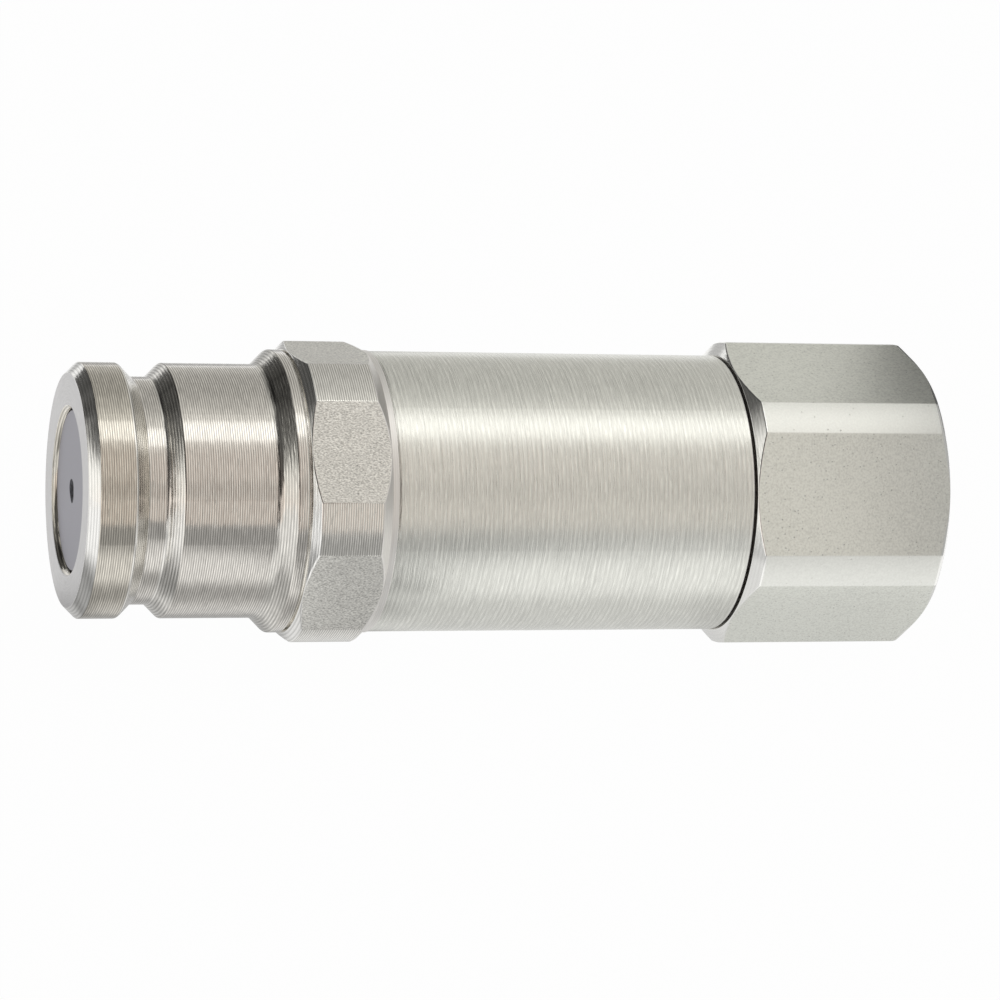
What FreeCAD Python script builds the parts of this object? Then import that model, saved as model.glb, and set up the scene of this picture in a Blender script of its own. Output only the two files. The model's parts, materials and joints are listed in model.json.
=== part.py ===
import FreeCAD, Part
import math
import os

# Flush-face hydraulic coupling nipple: a hollow probe with a spring-loaded valve inside,
# and a hexagon port end screwed into its back.
# It lies along +X. The origin is the centre of the nose face, x grows towards the port, and +Z is up.
# Lengths are millimetres, angles are degrees, and every radius is measured from the X axis.

AXIS = FreeCAD.Vector(1, 0, 0)
CENTRE = FreeCAD.Vector(0, 0, 0)
FULL_TURN = 360.0
SIDES = 6

# Probe
PROBE_DIA = 24.0
PROBE_WALL = 2.0
NOSE_CHAMFER = 0.9
COLLAR_LENGTH = 4.4
GROOVE_DEPTH = 1.3
GROOVE_FLOOR = 1.8
GROOVE_EDGE_BREAK = 0.2
LAND_LENGTH = 8.9
RING_RISE = 1.4
RING_WIDTH = 1.1
RING_EDGE_BREAK = 0.2
NOTCH_WIDTH = 0.2
NOTCH_DEPTH = 0.5

# Hexagons
ACROSS_FLATS = 27.0
HEX_FACE_INSET = 0.05
FRONT_HEX_WIDTH = 7.6
FRONT_HEX_CORNER_TRIM = 1.23
FRONT_HEX_NOSE_ANGLE = 36.0
FRONT_HEX_BACK_ANGLE = 48.0
FRONT_HEX_TURN = -16.3
REAR_HEX_WIDTH = 19.46
REAR_HEX_CORNER_TRIM = 0.88
REAR_HEX_ANGLE = 28.0
REAR_HEX_TURN = 0.0

# Sleeve behind the front hexagon
SHOULDER_WIDTH = 0.6
SLEEVE_INSET = 0.13
SLEEVE_LENGTH = 34.87
SLEEVE_WALL = 2.17
SEAM_GAP = 0.27

# Bore of the body
RIM_CHAMFER = 0.35
SEAT_STEP = 2.4
GUIDE_SEAT_STEP = 0.65

# Valve
VALVE_RECESS = 0.3
VALVE_TRAVEL = 9.5
STOP_CLEARANCE = 0.5
HEAD_CLEARANCE = 0.1
SEAT_CLEARANCE = 0.1
SEAT_OVERLAP = 0.7
FLANGE_WIDTH = 1.2
STEM_DIA = 6.0
STEM_CLEARANCE = 0.05
STEM_TAIL = 2.0
STEM_TIP_CHAMFER = 0.5
CENTRE_MARK_DIA = 2.0
CENTRE_MARK_ANGLE = 60.0
VALVE_SEAL_SETBACK = 1.8
VALVE_SEAL_WIDTH = 2.4
VALVE_SEAL_DEPTH = 1.8
SEAL_BEVEL = 0.45
SEAL_CLEARANCE = 0.03
HEAD_LAND = 1.8

# Valve guide
HUB_WALL = 1.85
HUB_NOSE = 4.0
HUB_TAIL = 2.0
GUIDE_FLANGE = 3.0
GUIDE_RIM = 1.0
GUIDE_PORTS = 3
GUIDE_SPOKE_ANGLE = 32.0
SPRING_SEAT_MARGIN = 0.6

# Spring
SPRING_WIRE = 1.3
SPRING_ACTIVE_TURNS = 4.5
SPRING_CLOSED_TURNS = 0.75
SPRING_CLOSED_GAP = 0.1
SPRING_CLEARANCE = 0.35
SPRING_SEAT_GAP = 0.05
SPRING_GROUND_SHARE = 0.5
SPRING_RUNS_PER_TURN = 12
SPRING_WIRE_SIDES = 8

# Adapter
WASHER_FACE_WIDTH = 0.2
THREAD_LENGTH = 10.5
THREAD_STEP = 0.35
THREAD_CLEARANCE = 0.05
PILOT_CLEARANCE = 0.05
PILOT_LAND = 0.95
ADAPTER_SEAL_WIDTH = 1.9
ADAPTER_SEAL_DEPTH = 1.7
ADAPTER_SEAL_SETBACK = 2.0
BACKUP_WIDTH = 1.0
SPIGOT_WALL = 1.5
PORT_BORE_DIA = 18.26
PORT_DEPTH = 17.5
PORT_COUNTERSINK = 1.6
DRILL_POINT_ANGLE = 118.0

# Radii worked out from the sizes above
probe_r = PROBE_DIA / 2
groove_r = probe_r - GROOVE_DEPTH
ring_r = probe_r + RING_RISE
notch_r = ring_r - NOTCH_DEPTH
hex_sharp_r = ACROSS_FLATS / 2 / math.cos(math.pi / SIDES)
hex_face_r = ACROSS_FLATS / 2 - HEX_FACE_INSET
sleeve_r = ACROSS_FLATS / 2 - SLEEVE_INSET
probe_bore_r = probe_r - PROBE_WALL
nose_bore_r = probe_bore_r - SEAT_STEP
head_r = nose_bore_r - HEAD_CLEARANCE
valve_groove_r = head_r - VALVE_SEAL_DEPTH
flange_r = nose_bore_r + SEAT_OVERLAP
stem_r = STEM_DIA / 2
hub_bore_r = stem_r + STEM_CLEARANCE
hub_r = hub_bore_r + HUB_WALL
spring_mean_r = hub_r + SPRING_CLEARANCE + SPRING_WIRE / 2
spring_seat_r = spring_mean_r + SPRING_WIRE / 2 + SPRING_SEAT_MARGIN
thread_bore_r = sleeve_r - SLEEVE_WALL
thread_r = thread_bore_r - THREAD_CLEARANCE
pilot_bore_r = thread_bore_r - THREAD_STEP
pilot_r = pilot_bore_r - PILOT_CLEARANCE
sleeve_bore_r = pilot_bore_r - GUIDE_SEAT_STEP
guide_port_r = pilot_r - GUIDE_RIM
adapter_groove_r = pilot_r - ADAPTER_SEAL_DEPTH
passage_r = adapter_groove_r - SPIGOT_WALL
port_r = PORT_BORE_DIA / 2

# Places along the axis, from the nose to the port
groove_start = COLLAR_LENGTH
groove_floor_start = groove_start + GROOVE_DEPTH
groove_floor_end = groove_floor_start + GROOVE_FLOOR
groove_end = groove_floor_end + GROOVE_DEPTH
flare_start = groove_end + LAND_LENGTH
ring_start = flare_start + ring_r - probe_r
ring_end = ring_start + RING_WIDTH
front_hex_start = ring_end + NOTCH_WIDTH
front_hex_end = front_hex_start + FRONT_HEX_WIDTH
sleeve_start = front_hex_end + SHOULDER_WIDTH
sleeve_end = sleeve_start + SLEEVE_LENGTH
valve_groove_start = VALVE_RECESS + VALVE_SEAL_SETBACK
valve_groove_end = valve_groove_start + VALVE_SEAL_WIDTH + 2 * SEAL_CLEARANCE
seat_start = valve_groove_end + HEAD_LAND
seat_end = seat_start + SEAT_STEP
thread_start = sleeve_end - THREAD_LENGTH
adapter_groove_end = thread_start - PILOT_LAND
adapter_groove_start = adapter_groove_end - ADAPTER_SEAL_WIDTH - BACKUP_WIDTH - 3 * SEAL_CLEARANCE
pilot_start = adapter_groove_start - ADAPTER_SEAL_SETBACK
guide_seat = pilot_start - GUIDE_FLANGE
hub_start = guide_seat - HUB_NOSE
hub_end = pilot_start + HUB_TAIL
flange_start = seat_start - HEAD_CLEARANCE + SEAT_CLEARANCE
flange_full = flange_start + flange_r - head_r
flange_end = flange_full + FLANGE_WIDTH
shank_end = hub_start - STOP_CLEARANCE - VALVE_TRAVEL
stem_end = hub_end + STEM_TAIL
adapter_face = sleeve_end + SEAM_GAP
rear_hex_start = adapter_face + WASHER_FACE_WIDTH
rear_hex_end = rear_hex_start + REAR_HEX_WIDTH
port_floor = rear_hex_end - PORT_DEPTH


def rise(angle):
    """Axial length of a cone for each unit of radius, from its angle to the end face."""
    return math.tan(math.radians(angle))


def turned(profile, sweep=FULL_TURN):
    """Turn a closed outline of (x, radius) corners about the axis."""
    corners = [FreeCAD.Vector(x, 0, r) for x, r in profile]
    outline = Part.makePolygon(corners + corners[:1])
    return Part.Face(outline).revolve(CENTRE, AXIS, sweep)


def eased(before, corner, after, size):
    """Two corners that break a sharp one, each this far along the straight to its neighbour."""
    broken = []
    for x, r in (before, after):
        share = size / math.hypot(x - corner[0], r - corner[1])
        broken.append((corner[0] + (x - corner[0]) * share, corner[1] + (r - corner[1]) * share))
    return broken


def moulded_ring(start, width, inner_r, outer_r):
    """Seal ring of square section with bevelled outer edges."""
    end = start + width
    return turned(
        [
            (start, inner_r),
            (start, outer_r - SEAL_BEVEL),
            (start + SEAL_BEVEL, outer_r),
            (end - SEAL_BEVEL, outer_r),
            (end, outer_r - SEAL_BEVEL),
            (end, inner_r),
        ]
    )


def hexagon(start, end, corner_trim, nose_angle, back_angle, turn):
    """Hexagon bar with turned-down corners and a conical chamfer at each end, flats up and down."""
    corner_r = hex_sharp_r - corner_trim
    depth = corner_r - hex_face_r
    corners = []
    for k in range(SIDES + 1):
        angle = math.radians(turn) + k * 2 * math.pi / SIDES
        y = hex_sharp_r * math.cos(angle)
        z = hex_sharp_r * math.sin(angle)
        corners.append(FreeCAD.Vector(start, y, z))
    bar = Part.Face(Part.makePolygon(corners)).extrude(AXIS * (end - start))
    blank = turned(
        [
            (start, 0),
            (start, hex_face_r),
            (start + depth * rise(nose_angle), corner_r),
            (end - depth * rise(back_angle), corner_r),
            (end, hex_face_r),
            (end, 0),
        ]
    )
    return bar.common(blank)


def nipple_body():
    """Probe, front hexagon and sleeve, turned in one piece and bored through."""
    nose_edge = (NOSE_CHAMFER, probe_r)
    collar_edge = (groove_start, probe_r)
    floor_front = (groove_floor_start, groove_r)
    floor_back = (groove_floor_end, groove_r)
    land_edge = (groove_end, probe_r)
    flare_foot = (flare_start, probe_r)
    ring_front = (ring_start, ring_r)
    ring_back = (ring_end, ring_r)
    notch_foot = (ring_end, notch_r)
    outside = turned(
        [
            (0, 0),
            (0, probe_r - NOSE_CHAMFER),
            nose_edge,
            *eased(nose_edge, collar_edge, floor_front, GROOVE_EDGE_BREAK),
            floor_front,
            floor_back,
            *eased(floor_back, land_edge, flare_foot, GROOVE_EDGE_BREAK),
            flare_foot,
            *eased(flare_foot, ring_front, ring_back, RING_EDGE_BREAK),
            *eased(ring_front, ring_back, notch_foot, RING_EDGE_BREAK),
            notch_foot,
            (front_hex_end, notch_r),
            (front_hex_end, hex_face_r),
            (sleeve_start, hex_face_r),
            (sleeve_start, sleeve_r),
            (sleeve_end, sleeve_r),
            (sleeve_end, 0),
        ]
    )
    spanner_hexagon = hexagon(
        front_hex_start,
        front_hex_end,
        FRONT_HEX_CORNER_TRIM,
        FRONT_HEX_NOSE_ANGLE,
        FRONT_HEX_BACK_ANGLE,
        FRONT_HEX_TURN,
    )
    bore = turned(
        [
            (0, 0),
            (0, nose_bore_r + RIM_CHAMFER),
            (RIM_CHAMFER, nose_bore_r),
            (seat_start, nose_bore_r),
            (seat_end, probe_bore_r),
            (front_hex_end, probe_bore_r),
            (front_hex_end, sleeve_bore_r),
            (guide_seat, sleeve_bore_r),
            (guide_seat, pilot_bore_r),
            (thread_start - THREAD_STEP, pilot_bore_r),
            (thread_start, thread_bore_r),
            (sleeve_end, thread_bore_r),
            (sleeve_end, 0),
        ]
    )
    return outside.fuse(spanner_hexagon).cut(bore)


def valve_poppet():
    """Flush valve head with its seal groove and stop flange, spring shank and guided stem."""
    mark_r = CENTRE_MARK_DIA / 2
    mark_depth = mark_r / math.tan(math.radians(CENTRE_MARK_ANGLE / 2))
    return turned(
        [
            (VALVE_RECESS + mark_depth, 0),
            (VALVE_RECESS, mark_r),
            (VALVE_RECESS, head_r),
            (valve_groove_start, head_r),
            (valve_groove_start, valve_groove_r),
            (valve_groove_end, valve_groove_r),
            (valve_groove_end, head_r),
            (flange_start, head_r),
            (flange_full, flange_r),
            (flange_end, flange_r),
            (flange_end, hub_r),
            (shank_end, hub_r),
            (shank_end, stem_r),
            (stem_end - STEM_TIP_CHAMFER, stem_r),
            (stem_end, stem_r - STEM_TIP_CHAMFER),
            (stem_end, 0),
        ]
    )


def valve_seal():
    """Seal in the groove of the valve head, a little proud of it."""
    start = valve_groove_start + SEAL_CLEARANCE
    inner_r = valve_groove_r + SEAL_CLEARANCE
    return moulded_ring(start, VALVE_SEAL_WIDTH, inner_r, nose_bore_r - SEAL_CLEARANCE)


def valve_guide():
    """Ported disc with a long hub that carries the valve stem and one end of the spring."""
    disc = turned(
        [
            (hub_start, hub_bore_r),
            (hub_start, hub_r),
            (guide_seat, hub_r),
            (guide_seat, pilot_r),
            (pilot_start, pilot_r),
            (pilot_start, hub_r),
            (hub_end, hub_r),
            (hub_end, hub_bore_r),
        ]
    )
    spacing = FULL_TURN / GUIDE_PORTS
    port = turned(
        [
            (guide_seat, spring_seat_r),
            (guide_seat, guide_port_r),
            (pilot_start, guide_port_r),
            (pilot_start, spring_seat_r),
        ],
        spacing - GUIDE_SPOKE_ANGLE,
    )
    for k in range(GUIDE_PORTS):
        disc = disc.cut(port.rotated(CENTRE, AXIS, k * spacing))
    return disc


def valve_spring():
    """Compression spring with closed, ground ends, its wire and coils drawn with flat facets."""
    start = flange_end + SPRING_SEAT_GAP
    end = guide_seat - SPRING_SEAT_GAP
    wire_r = SPRING_WIRE / 2
    closed_pitch = SPRING_WIRE + SPRING_CLOSED_GAP
    first = start + wire_r * SPRING_GROUND_SHARE
    last = end - wire_r * SPRING_GROUND_SHARE
    active_length = last - first - 2 * SPRING_CLOSED_TURNS * closed_pitch
    active_pitch = active_length / SPRING_ACTIVE_TURNS
    turns = SPRING_ACTIVE_TURNS + 2 * SPRING_CLOSED_TURNS
    runs = round(turns * SPRING_RUNS_PER_TURN)
    sections = []
    for k in range(runs + 1):
        turn = turns * k / runs
        active = min(max(turn - SPRING_CLOSED_TURNS, 0), SPRING_ACTIVE_TURNS)
        middle = first + active * active_pitch + (turn - active) * closed_pitch
        sections.append(wire_section(middle, wire_r, turn * FULL_TURN))
    coil = Part.makeLoft(sections, True, True)
    between_seats = Part.makeCylinder(
        spring_seat_r, end - start, FreeCAD.Vector(start, 0, 0), AXIS
    )
    return coil.common(between_seats)


def wire_section(middle, wire_r, angle):
    """Outline of the spring wire where it crosses the half-plane at this angle about the axis."""
    corners = []
    for k in range(SPRING_WIRE_SIDES + 1):
        side = 2 * math.pi * k / SPRING_WIRE_SIDES
        x = middle + wire_r * math.sin(side)
        r = spring_mean_r + wire_r * math.cos(side)
        corners.append(FreeCAD.Vector(x, 0, r))
    outline = Part.makePolygon(corners)
    return outline.rotated(CENTRE, AXIS, angle)


def adapter():
    """Screwed-in end piece: sealing pilot, threaded spigot, hexagon and female port."""
    outside = turned(
        [
            (pilot_start, 0),
            (pilot_start, pilot_r),
            (adapter_groove_start, pilot_r),
            (adapter_groove_start, adapter_groove_r),
            (adapter_groove_end, adapter_groove_r),
            (adapter_groove_end, pilot_r),
            (thread_start - THREAD_STEP, pilot_r),
            (thread_start, thread_r),
            (adapter_face, thread_r),
            (adapter_face, hex_face_r),
            (rear_hex_start, hex_face_r),
            (rear_hex_start, 0),
        ]
    )
    port_hexagon = hexagon(
        rear_hex_start,
        rear_hex_end,
        REAR_HEX_CORNER_TRIM,
        REAR_HEX_ANGLE,
        REAR_HEX_ANGLE,
        REAR_HEX_TURN,
    )
    mouth_r = guide_port_r
    drill_cone = abs(port_r - passage_r) / math.tan(math.radians(DRILL_POINT_ANGLE / 2))
    bore = turned(
        [
            (pilot_start, 0),
            (pilot_start, mouth_r),
            (pilot_start + mouth_r - passage_r, passage_r),
            (port_floor - drill_cone, passage_r),
            (port_floor, port_r),
            (rear_hex_end - PORT_COUNTERSINK, port_r),
            (rear_hex_end, port_r + PORT_COUNTERSINK),
            (rear_hex_end, 0),
        ]
    )
    return outside.fuse(port_hexagon).cut(bore)


def adapter_seal():
    """Seal on the pilot of the adapter, against the front wall of its groove."""
    start = adapter_groove_start + SEAL_CLEARANCE
    inner_r = adapter_groove_r + SEAL_CLEARANCE
    return moulded_ring(start, ADAPTER_SEAL_WIDTH, inner_r, pilot_bore_r - SEAL_CLEARANCE)


def adapter_backup_ring():
    """Hard ring behind that seal, on its low-pressure side."""
    end = adapter_groove_end - SEAL_CLEARANCE
    start = end - BACKUP_WIDTH
    outer_r = pilot_bore_r - SEAL_CLEARANCE
    inner_r = adapter_groove_r + SEAL_CLEARANCE
    return turned([(start, inner_r), (start, outer_r), (end, outer_r), (end, inner_r)])


def write_parts():
    """Write each piece to its own file."""
    os.makedirs("parts", exist_ok=True)
    pieces = (
        nipple_body,
        valve_poppet,
        valve_seal,
        valve_guide,
        valve_spring,
        adapter,
        adapter_seal,
        adapter_backup_ring,
    )
    for piece in pieces:
        piece().exportStep(os.path.join("parts", piece.__name__ + ".step"))


write_parts()
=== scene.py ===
"""Looks of a flush-face hydraulic coupling nipple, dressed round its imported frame.

The nipple lies along +X, with its nose face at the origin and its port at the far end. Outlines are
written in millimetres as (x, radius) and become metres when a mesh is made from them.
"""

import json
import logging
import math
from collections.abc import Sequence
from dataclasses import dataclass
from enum import Enum

import bmesh
import bpy
import numpy as np
from mathutils import Matrix, Vector


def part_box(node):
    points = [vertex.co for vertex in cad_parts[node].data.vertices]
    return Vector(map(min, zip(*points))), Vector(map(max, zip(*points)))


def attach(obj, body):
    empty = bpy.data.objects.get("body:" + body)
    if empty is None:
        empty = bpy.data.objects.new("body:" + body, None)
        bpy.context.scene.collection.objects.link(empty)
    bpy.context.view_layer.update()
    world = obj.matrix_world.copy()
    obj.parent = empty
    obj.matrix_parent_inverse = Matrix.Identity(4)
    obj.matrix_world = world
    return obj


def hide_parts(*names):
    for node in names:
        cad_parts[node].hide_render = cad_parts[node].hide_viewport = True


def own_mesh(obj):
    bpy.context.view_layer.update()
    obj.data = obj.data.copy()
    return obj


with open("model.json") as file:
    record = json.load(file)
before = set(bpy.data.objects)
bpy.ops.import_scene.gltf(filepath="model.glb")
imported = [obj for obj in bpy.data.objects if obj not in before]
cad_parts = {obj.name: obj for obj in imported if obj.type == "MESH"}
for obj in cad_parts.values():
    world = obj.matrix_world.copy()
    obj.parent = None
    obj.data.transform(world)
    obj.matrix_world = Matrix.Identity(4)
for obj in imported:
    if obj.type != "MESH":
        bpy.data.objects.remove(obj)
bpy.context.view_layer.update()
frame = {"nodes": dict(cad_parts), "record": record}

log = logging.getLogger("coupling_nipple")

MM = 0.001
MICRON = 1e-6
TURN = 2 * math.pi
SIDES = 6
SHARP_ANGLE = math.radians(32)
ARC_STEP = math.radians(11)
ROUNDED_SHARE = 0.45
CHAMFER_SHARE = 0.4
WELD_DISTANCE = 0.0005 * MM
PLAIN_COLUMNS = 192
ROUGHNESS_SPREAD = 0.2
GRAIN_ROUGHNESS = 0.1
MOULD_ROUGHNESS = 0.15
WHITE = (1.0, 1.0, 1.0, 1.0)
HOUSING = "housing"
VALVE = "valve"

# Sockets of node groups, and of a Mix node that blends colours
FLOAT = "NodeSocketFloat"
VECTOR = "NodeSocketVector"
MIX_FROM = 6
MIX_TO = 7
MIX_RESULT = 2

Color = tuple[float, float, float]
Socket = bpy.types.NodeSocket


class Zone(Enum):
    """Finish that a stretch of a turned outline takes."""

    FACE = "face"
    COLLAR = "collar"
    GROOVE = "groove"
    EDGE = "edge"
    PROBE = "probe"
    SLEEVE = "sleeve"
    FLARE = "flare"
    SHOULDER = "shoulder"
    FLAT = "flat"
    BAND = "band"
    BORE = "bore"
    DISC = "disc"
    MARK = "mark"


class Lay(Enum):
    """Direction in which the lines of a turned surface follow each other."""

    ALONG_AXIS = "along the axis"
    OUTWARDS = "outwards from the axis"


class Sheet:
    """A node tree while it is drawn: adds nodes, sets their sockets and joins them."""

    def __init__(self, tree: bpy.types.NodeTree) -> None:
        """Take the tree to draw in."""
        self.tree = tree

    def feed(self, socket: Socket, value: object) -> None:
        """Join a socket to another one, or set its value.

        Args:
            socket: Input socket to fill.
            value: Output socket to join, or a plain value.
        """
        if isinstance(value, bpy.types.NodeSocket):
            self.tree.links.new(value, socket)
        else:
            socket.default_value = value

    def add(self, kind: str, inputs: dict | None = None, **settings: object) -> bpy.types.Node:
        """Add a node.

        Args:
            kind: Blender's name of the node type.
            inputs: Values or sockets by input name or number.
            **settings: Properties of the node.

        Returns:
            The new node.
        """
        node = self.tree.nodes.new(kind)
        for name, value in settings.items():
            setattr(node, name, value)
        for key, value in (inputs or {}).items():
            self.feed(node.inputs[key], value)
        return node

    def math(self, operation: str, *values: object) -> Socket:
        """Result of a new Math node on numbers or sockets, in order."""
        return self.add("ShaderNodeMath", dict(enumerate(values)), operation=operation).outputs[0]

    def blend(
        self, low: float, high: float, share: Socket, span: tuple = (0.0, 1.0), **settings: object
    ) -> Socket:
        """Add a Map Range node.

        Args:
            low: Result at the start of the span.
            high: Result at its end.
            share: Socket of the value to map.
            span: Values at which the result is low and high.
            **settings: Properties of the node.

        Returns:
            The result's socket.
        """
        limits = {"From Min": span[0], "From Max": span[1], "To Min": low, "To Max": high}
        node = self.add("ShaderNodeMapRange", {"Value": share, **limits}, **settings)
        return node.outputs["Result"]

    def step(self, value: Socket, off: float, on: float) -> Socket:
        """Add a smooth step from 0 at one value to 1 at another."""
        return self.blend(0.0, 1.0, value, (off, on), interpolation_type="SMOOTHSTEP")

    def centred(self, value: Socket) -> Socket:
        """Stretch a value that runs from 0 to 1, so that it runs from -1 to 1."""
        return self.math("MULTIPLY_ADD", value, 2.0, -1.0)

    def split(self, position: Socket) -> Sequence:
        """Outputs of a new Separate XYZ node, by axis."""
        return self.add("ShaderNodeSeparateXYZ", {0: position}).outputs

    def join(self, x: object, y: object, z: object) -> Socket:
        """Vector of a new Combine XYZ node."""
        return self.add("ShaderNodeCombineXYZ", {"X": x, "Y": y, "Z": z}).outputs[0]

    def noise(self, position: Socket, scale: float | Socket, detail: float) -> Socket:
        """Add a Noise Texture.

        Args:
            position: Where the noise is read.
            scale: Features per metre.
            detail: Octaves.

        Returns:
            The noise value's socket, from 0 to 1.
        """
        node = self.add(
            "ShaderNodeTexNoise", {"Vector": position, "Scale": scale, "Detail": detail}
        )
        return node.outputs[0]


def open_group(
    name: str, kind: str, inputs: dict[str, tuple[str, object]], outputs: dict[str, str]
) -> tuple[Sheet, Sequence, Sequence]:
    """Start a node group with named sockets.

    Args:
        name: Name of the group.
        kind: Type of the tree.
        inputs: Socket type and first value by input name.
        outputs: Socket type by output name.

    Returns:
        The sheet to draw in, the sockets that the group is given and those that it fills.
    """
    tree = bpy.data.node_groups.new(name, kind)
    for label, (socket_type, default) in inputs.items():
        socket = tree.interface.new_socket(label, in_out="INPUT", socket_type=socket_type)
        if default is not None:
            socket.default_value = default
    for label, socket_type in outputs.items():
        tree.interface.new_socket(label, in_out="OUTPUT", socket_type=socket_type)
    sheet = Sheet(tree)
    return sheet, sheet.add("NodeGroupInput").outputs, sheet.add("NodeGroupOutput").inputs


def emptied(block: bpy.types.Material | bpy.types.World) -> bpy.types.NodeTree:
    """Empty the node tree of a material or a world.

    Args:
        block: The material or world.

    Returns:
        Its tree.
    """
    block.use_nodes = True
    block.node_tree.nodes.clear()
    return block.node_tree


class SurfaceEffects:
    """Shader node groups that the finishes share."""

    STREAK_FINE = 10500.0
    STREAK_LONG = 170.0
    STREAK_OCTAVES = 3.0
    STROKE_LONG = 850.0
    STROKE_OCTAVES = 1.0
    STROKE_SPAN = (0.3, 0.7)
    FEED_STRENGTH = (0.25, 1.6)
    WANDER_SCALE = 130.0
    WANDER_OCTAVES = 2.0
    GRAIN_OCTAVES = 2.0
    GLINT_SPAN = (0.62, 0.78)
    PIT_FLOOR = 0.4
    PATINA_SCALE = 95.0
    PATINA_OCTAVES = 4.0

    def __init__(self) -> None:
        """Build each group once."""
        self.turning = self._turning_marks()
        self.grain = self._grain()
        self.pits = self._pits()
        self.patina = self._patina()

    def _turning_marks(self) -> bpy.types.NodeTree:
        """Draw the feed lines of a lathe tool, one pitch to the turn, and finer streaks between them.

        Returns:
            The group's tree.
        """
        sheet, given, made = open_group(
            "Turning marks",
            "ShaderNodeTree",
            {
                "Position": (VECTOR, None),
                "Along": (FLOAT, 0.0),
                "Pitch": (FLOAT, 0.0002),
                "Wander": (FLOAT, 0.0),
            },
            {"Feed": FLOAT, "Streak": FLOAT, "Stroke": FLOAT},
        )
        position, along = given["Position"], given["Along"]
        parts = sheet.split(position)
        around = sheet.math("DIVIDE", sheet.math("ARCTAN2", parts["Z"], parts["Y"]), TURN)
        wave = sheet.noise(position, self.WANDER_SCALE, self.WANDER_OCTAVES)
        drift = sheet.math("SUBTRACT", wave, 0.5)
        turns = sheet.math("DIVIDE", along, given["Pitch"])
        phase = sheet.math("SUBTRACT", turns, around)
        phase = sheet.math("MULTIPLY_ADD", drift, given["Wander"], phase)
        feed = sheet.math("SINE", sheet.math("MULTIPLY", phase, TURN))
        streak = self._stretched(sheet, along, parts, self.STREAK_LONG, self.STREAK_OCTAVES)
        stroke = self._stretched(sheet, along, parts, self.STROKE_LONG, self.STROKE_OCTAVES)
        strength = sheet.blend(*self.FEED_STRENGTH, stroke, self.STROKE_SPAN)
        sheet.feed(made["Feed"], sheet.math("MULTIPLY", feed, strength))
        sheet.feed(made["Streak"], streak)
        sheet.feed(made["Stroke"], stroke)
        return sheet.tree

    def _stretched(
        self, sheet: Sheet, along: Socket, parts: Sequence, density: float, detail: float
    ) -> Socket:
        """Add noise that is fine across the lines and long beside them.

        Args:
            sheet: Group's sheet.
            along: Socket of the place across the lines.
            parts: Sockets of the coordinates.
            density: Features per metre beside the lines.
            detail: Octaves.

        Returns:
            The noise value's socket.
        """
        fine = sheet.math("MULTIPLY", along, self.STREAK_FINE)
        beside = [sheet.math("MULTIPLY", parts[axis], density) for axis in "YZ"]
        return sheet.noise(sheet.join(fine, *beside), 1.0, detail)

    def _grain(self) -> bpy.types.NodeTree:
        """Draw the fine speckle of a drawn or blasted surface, with a mask of its brightest specks for a
        painted glint.

        Returns:
            The group's tree.
        """
        sheet, given, made = open_group(
            "Grain",
            "ShaderNodeTree",
            {"Position": (VECTOR, None), "Cell": (FLOAT, 0.0003), "Stretch": (FLOAT, 1.0)},
            {"Height": FLOAT, "Glint": FLOAT},
        )
        density = sheet.math("DIVIDE", 1.0, given["Cell"])
        parts = sheet.split(given["Position"])
        x = sheet.math("DIVIDE", parts["X"], given["Stretch"])
        place = sheet.join(x, parts["Y"], parts["Z"])
        speckle = sheet.noise(place, density, self.GRAIN_OCTAVES)
        sheet.feed(made["Height"], sheet.math("SUBTRACT", speckle, 0.5))
        sheet.feed(made["Glint"], sheet.blend(0.0, 1.0, speckle, self.GLINT_SPAN))
        return sheet.tree

    def _pits(self) -> bpy.types.NodeTree:
        """Draw sparse small pits, one in some of the cells of a random pattern.

        Returns:
            The group's tree.
        """
        sheet, given, made = open_group(
            "Pits",
            "ShaderNodeTree",
            {
                "Position": (VECTOR, None),
                "Spacing": (FLOAT, 0.001),
                "Size": (FLOAT, 0.12),
                "Share": (FLOAT, 0.3),
            },
            {"Mask": FLOAT},
        )
        density = sheet.math("DIVIDE", 1.0, given["Spacing"])
        pattern = {"Vector": given["Position"], "Scale": density}
        cells = sheet.add("ShaderNodeTexVoronoi", pattern).outputs
        chance = sheet.add("ShaderNodeSeparateColor", {0: cells["Color"]}).outputs[0]
        chosen = sheet.math("LESS_THAN", chance, given["Share"])
        rim = given["Size"]
        floor = sheet.math("MULTIPLY", rim, self.PIT_FLOOR)
        depth = sheet.blend(0.0, 1.0, cells["Distance"], (rim, floor))
        sheet.feed(made["Mask"], sheet.math("MULTIPLY", depth, chosen))
        return sheet.tree

    def _patina(self) -> bpy.types.NodeTree:
        """Draw the slow, cloudy change of tone over a plated surface.

        Returns:
            The group's tree.
        """
        sheet, given, made = open_group(
            "Patina", "ShaderNodeTree", {"Position": (VECTOR, None)}, {"Cloud": FLOAT}
        )
        cloud = sheet.noise(given["Position"], self.PATINA_SCALE, self.PATINA_OCTAVES)
        sheet.feed(made["Cloud"], cloud)
        return sheet.tree


class Canvas(Sheet):
    """A material's node tree, with the shared groups and the object coordinates at hand."""

    def __init__(self, tree: bpy.types.NodeTree, effects: SurfaceEffects) -> None:
        """Take the tree and the groups, and read the coordinates.

        Args:
            tree: Tree to draw in.
            effects: Shared node groups.
        """
        super().__init__(tree)
        self.effects = effects
        self.position = self.add("ShaderNodeTexCoord").outputs["Object"]

    def group(self, tree: bpy.types.NodeTree, inputs: dict) -> Sequence:
        """Outputs of a shared group that is placed at the object coordinates."""
        inputs = {"Position": self.position, **inputs}
        return self.add("ShaderNodeGroup", inputs, node_tree=tree).outputs


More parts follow.
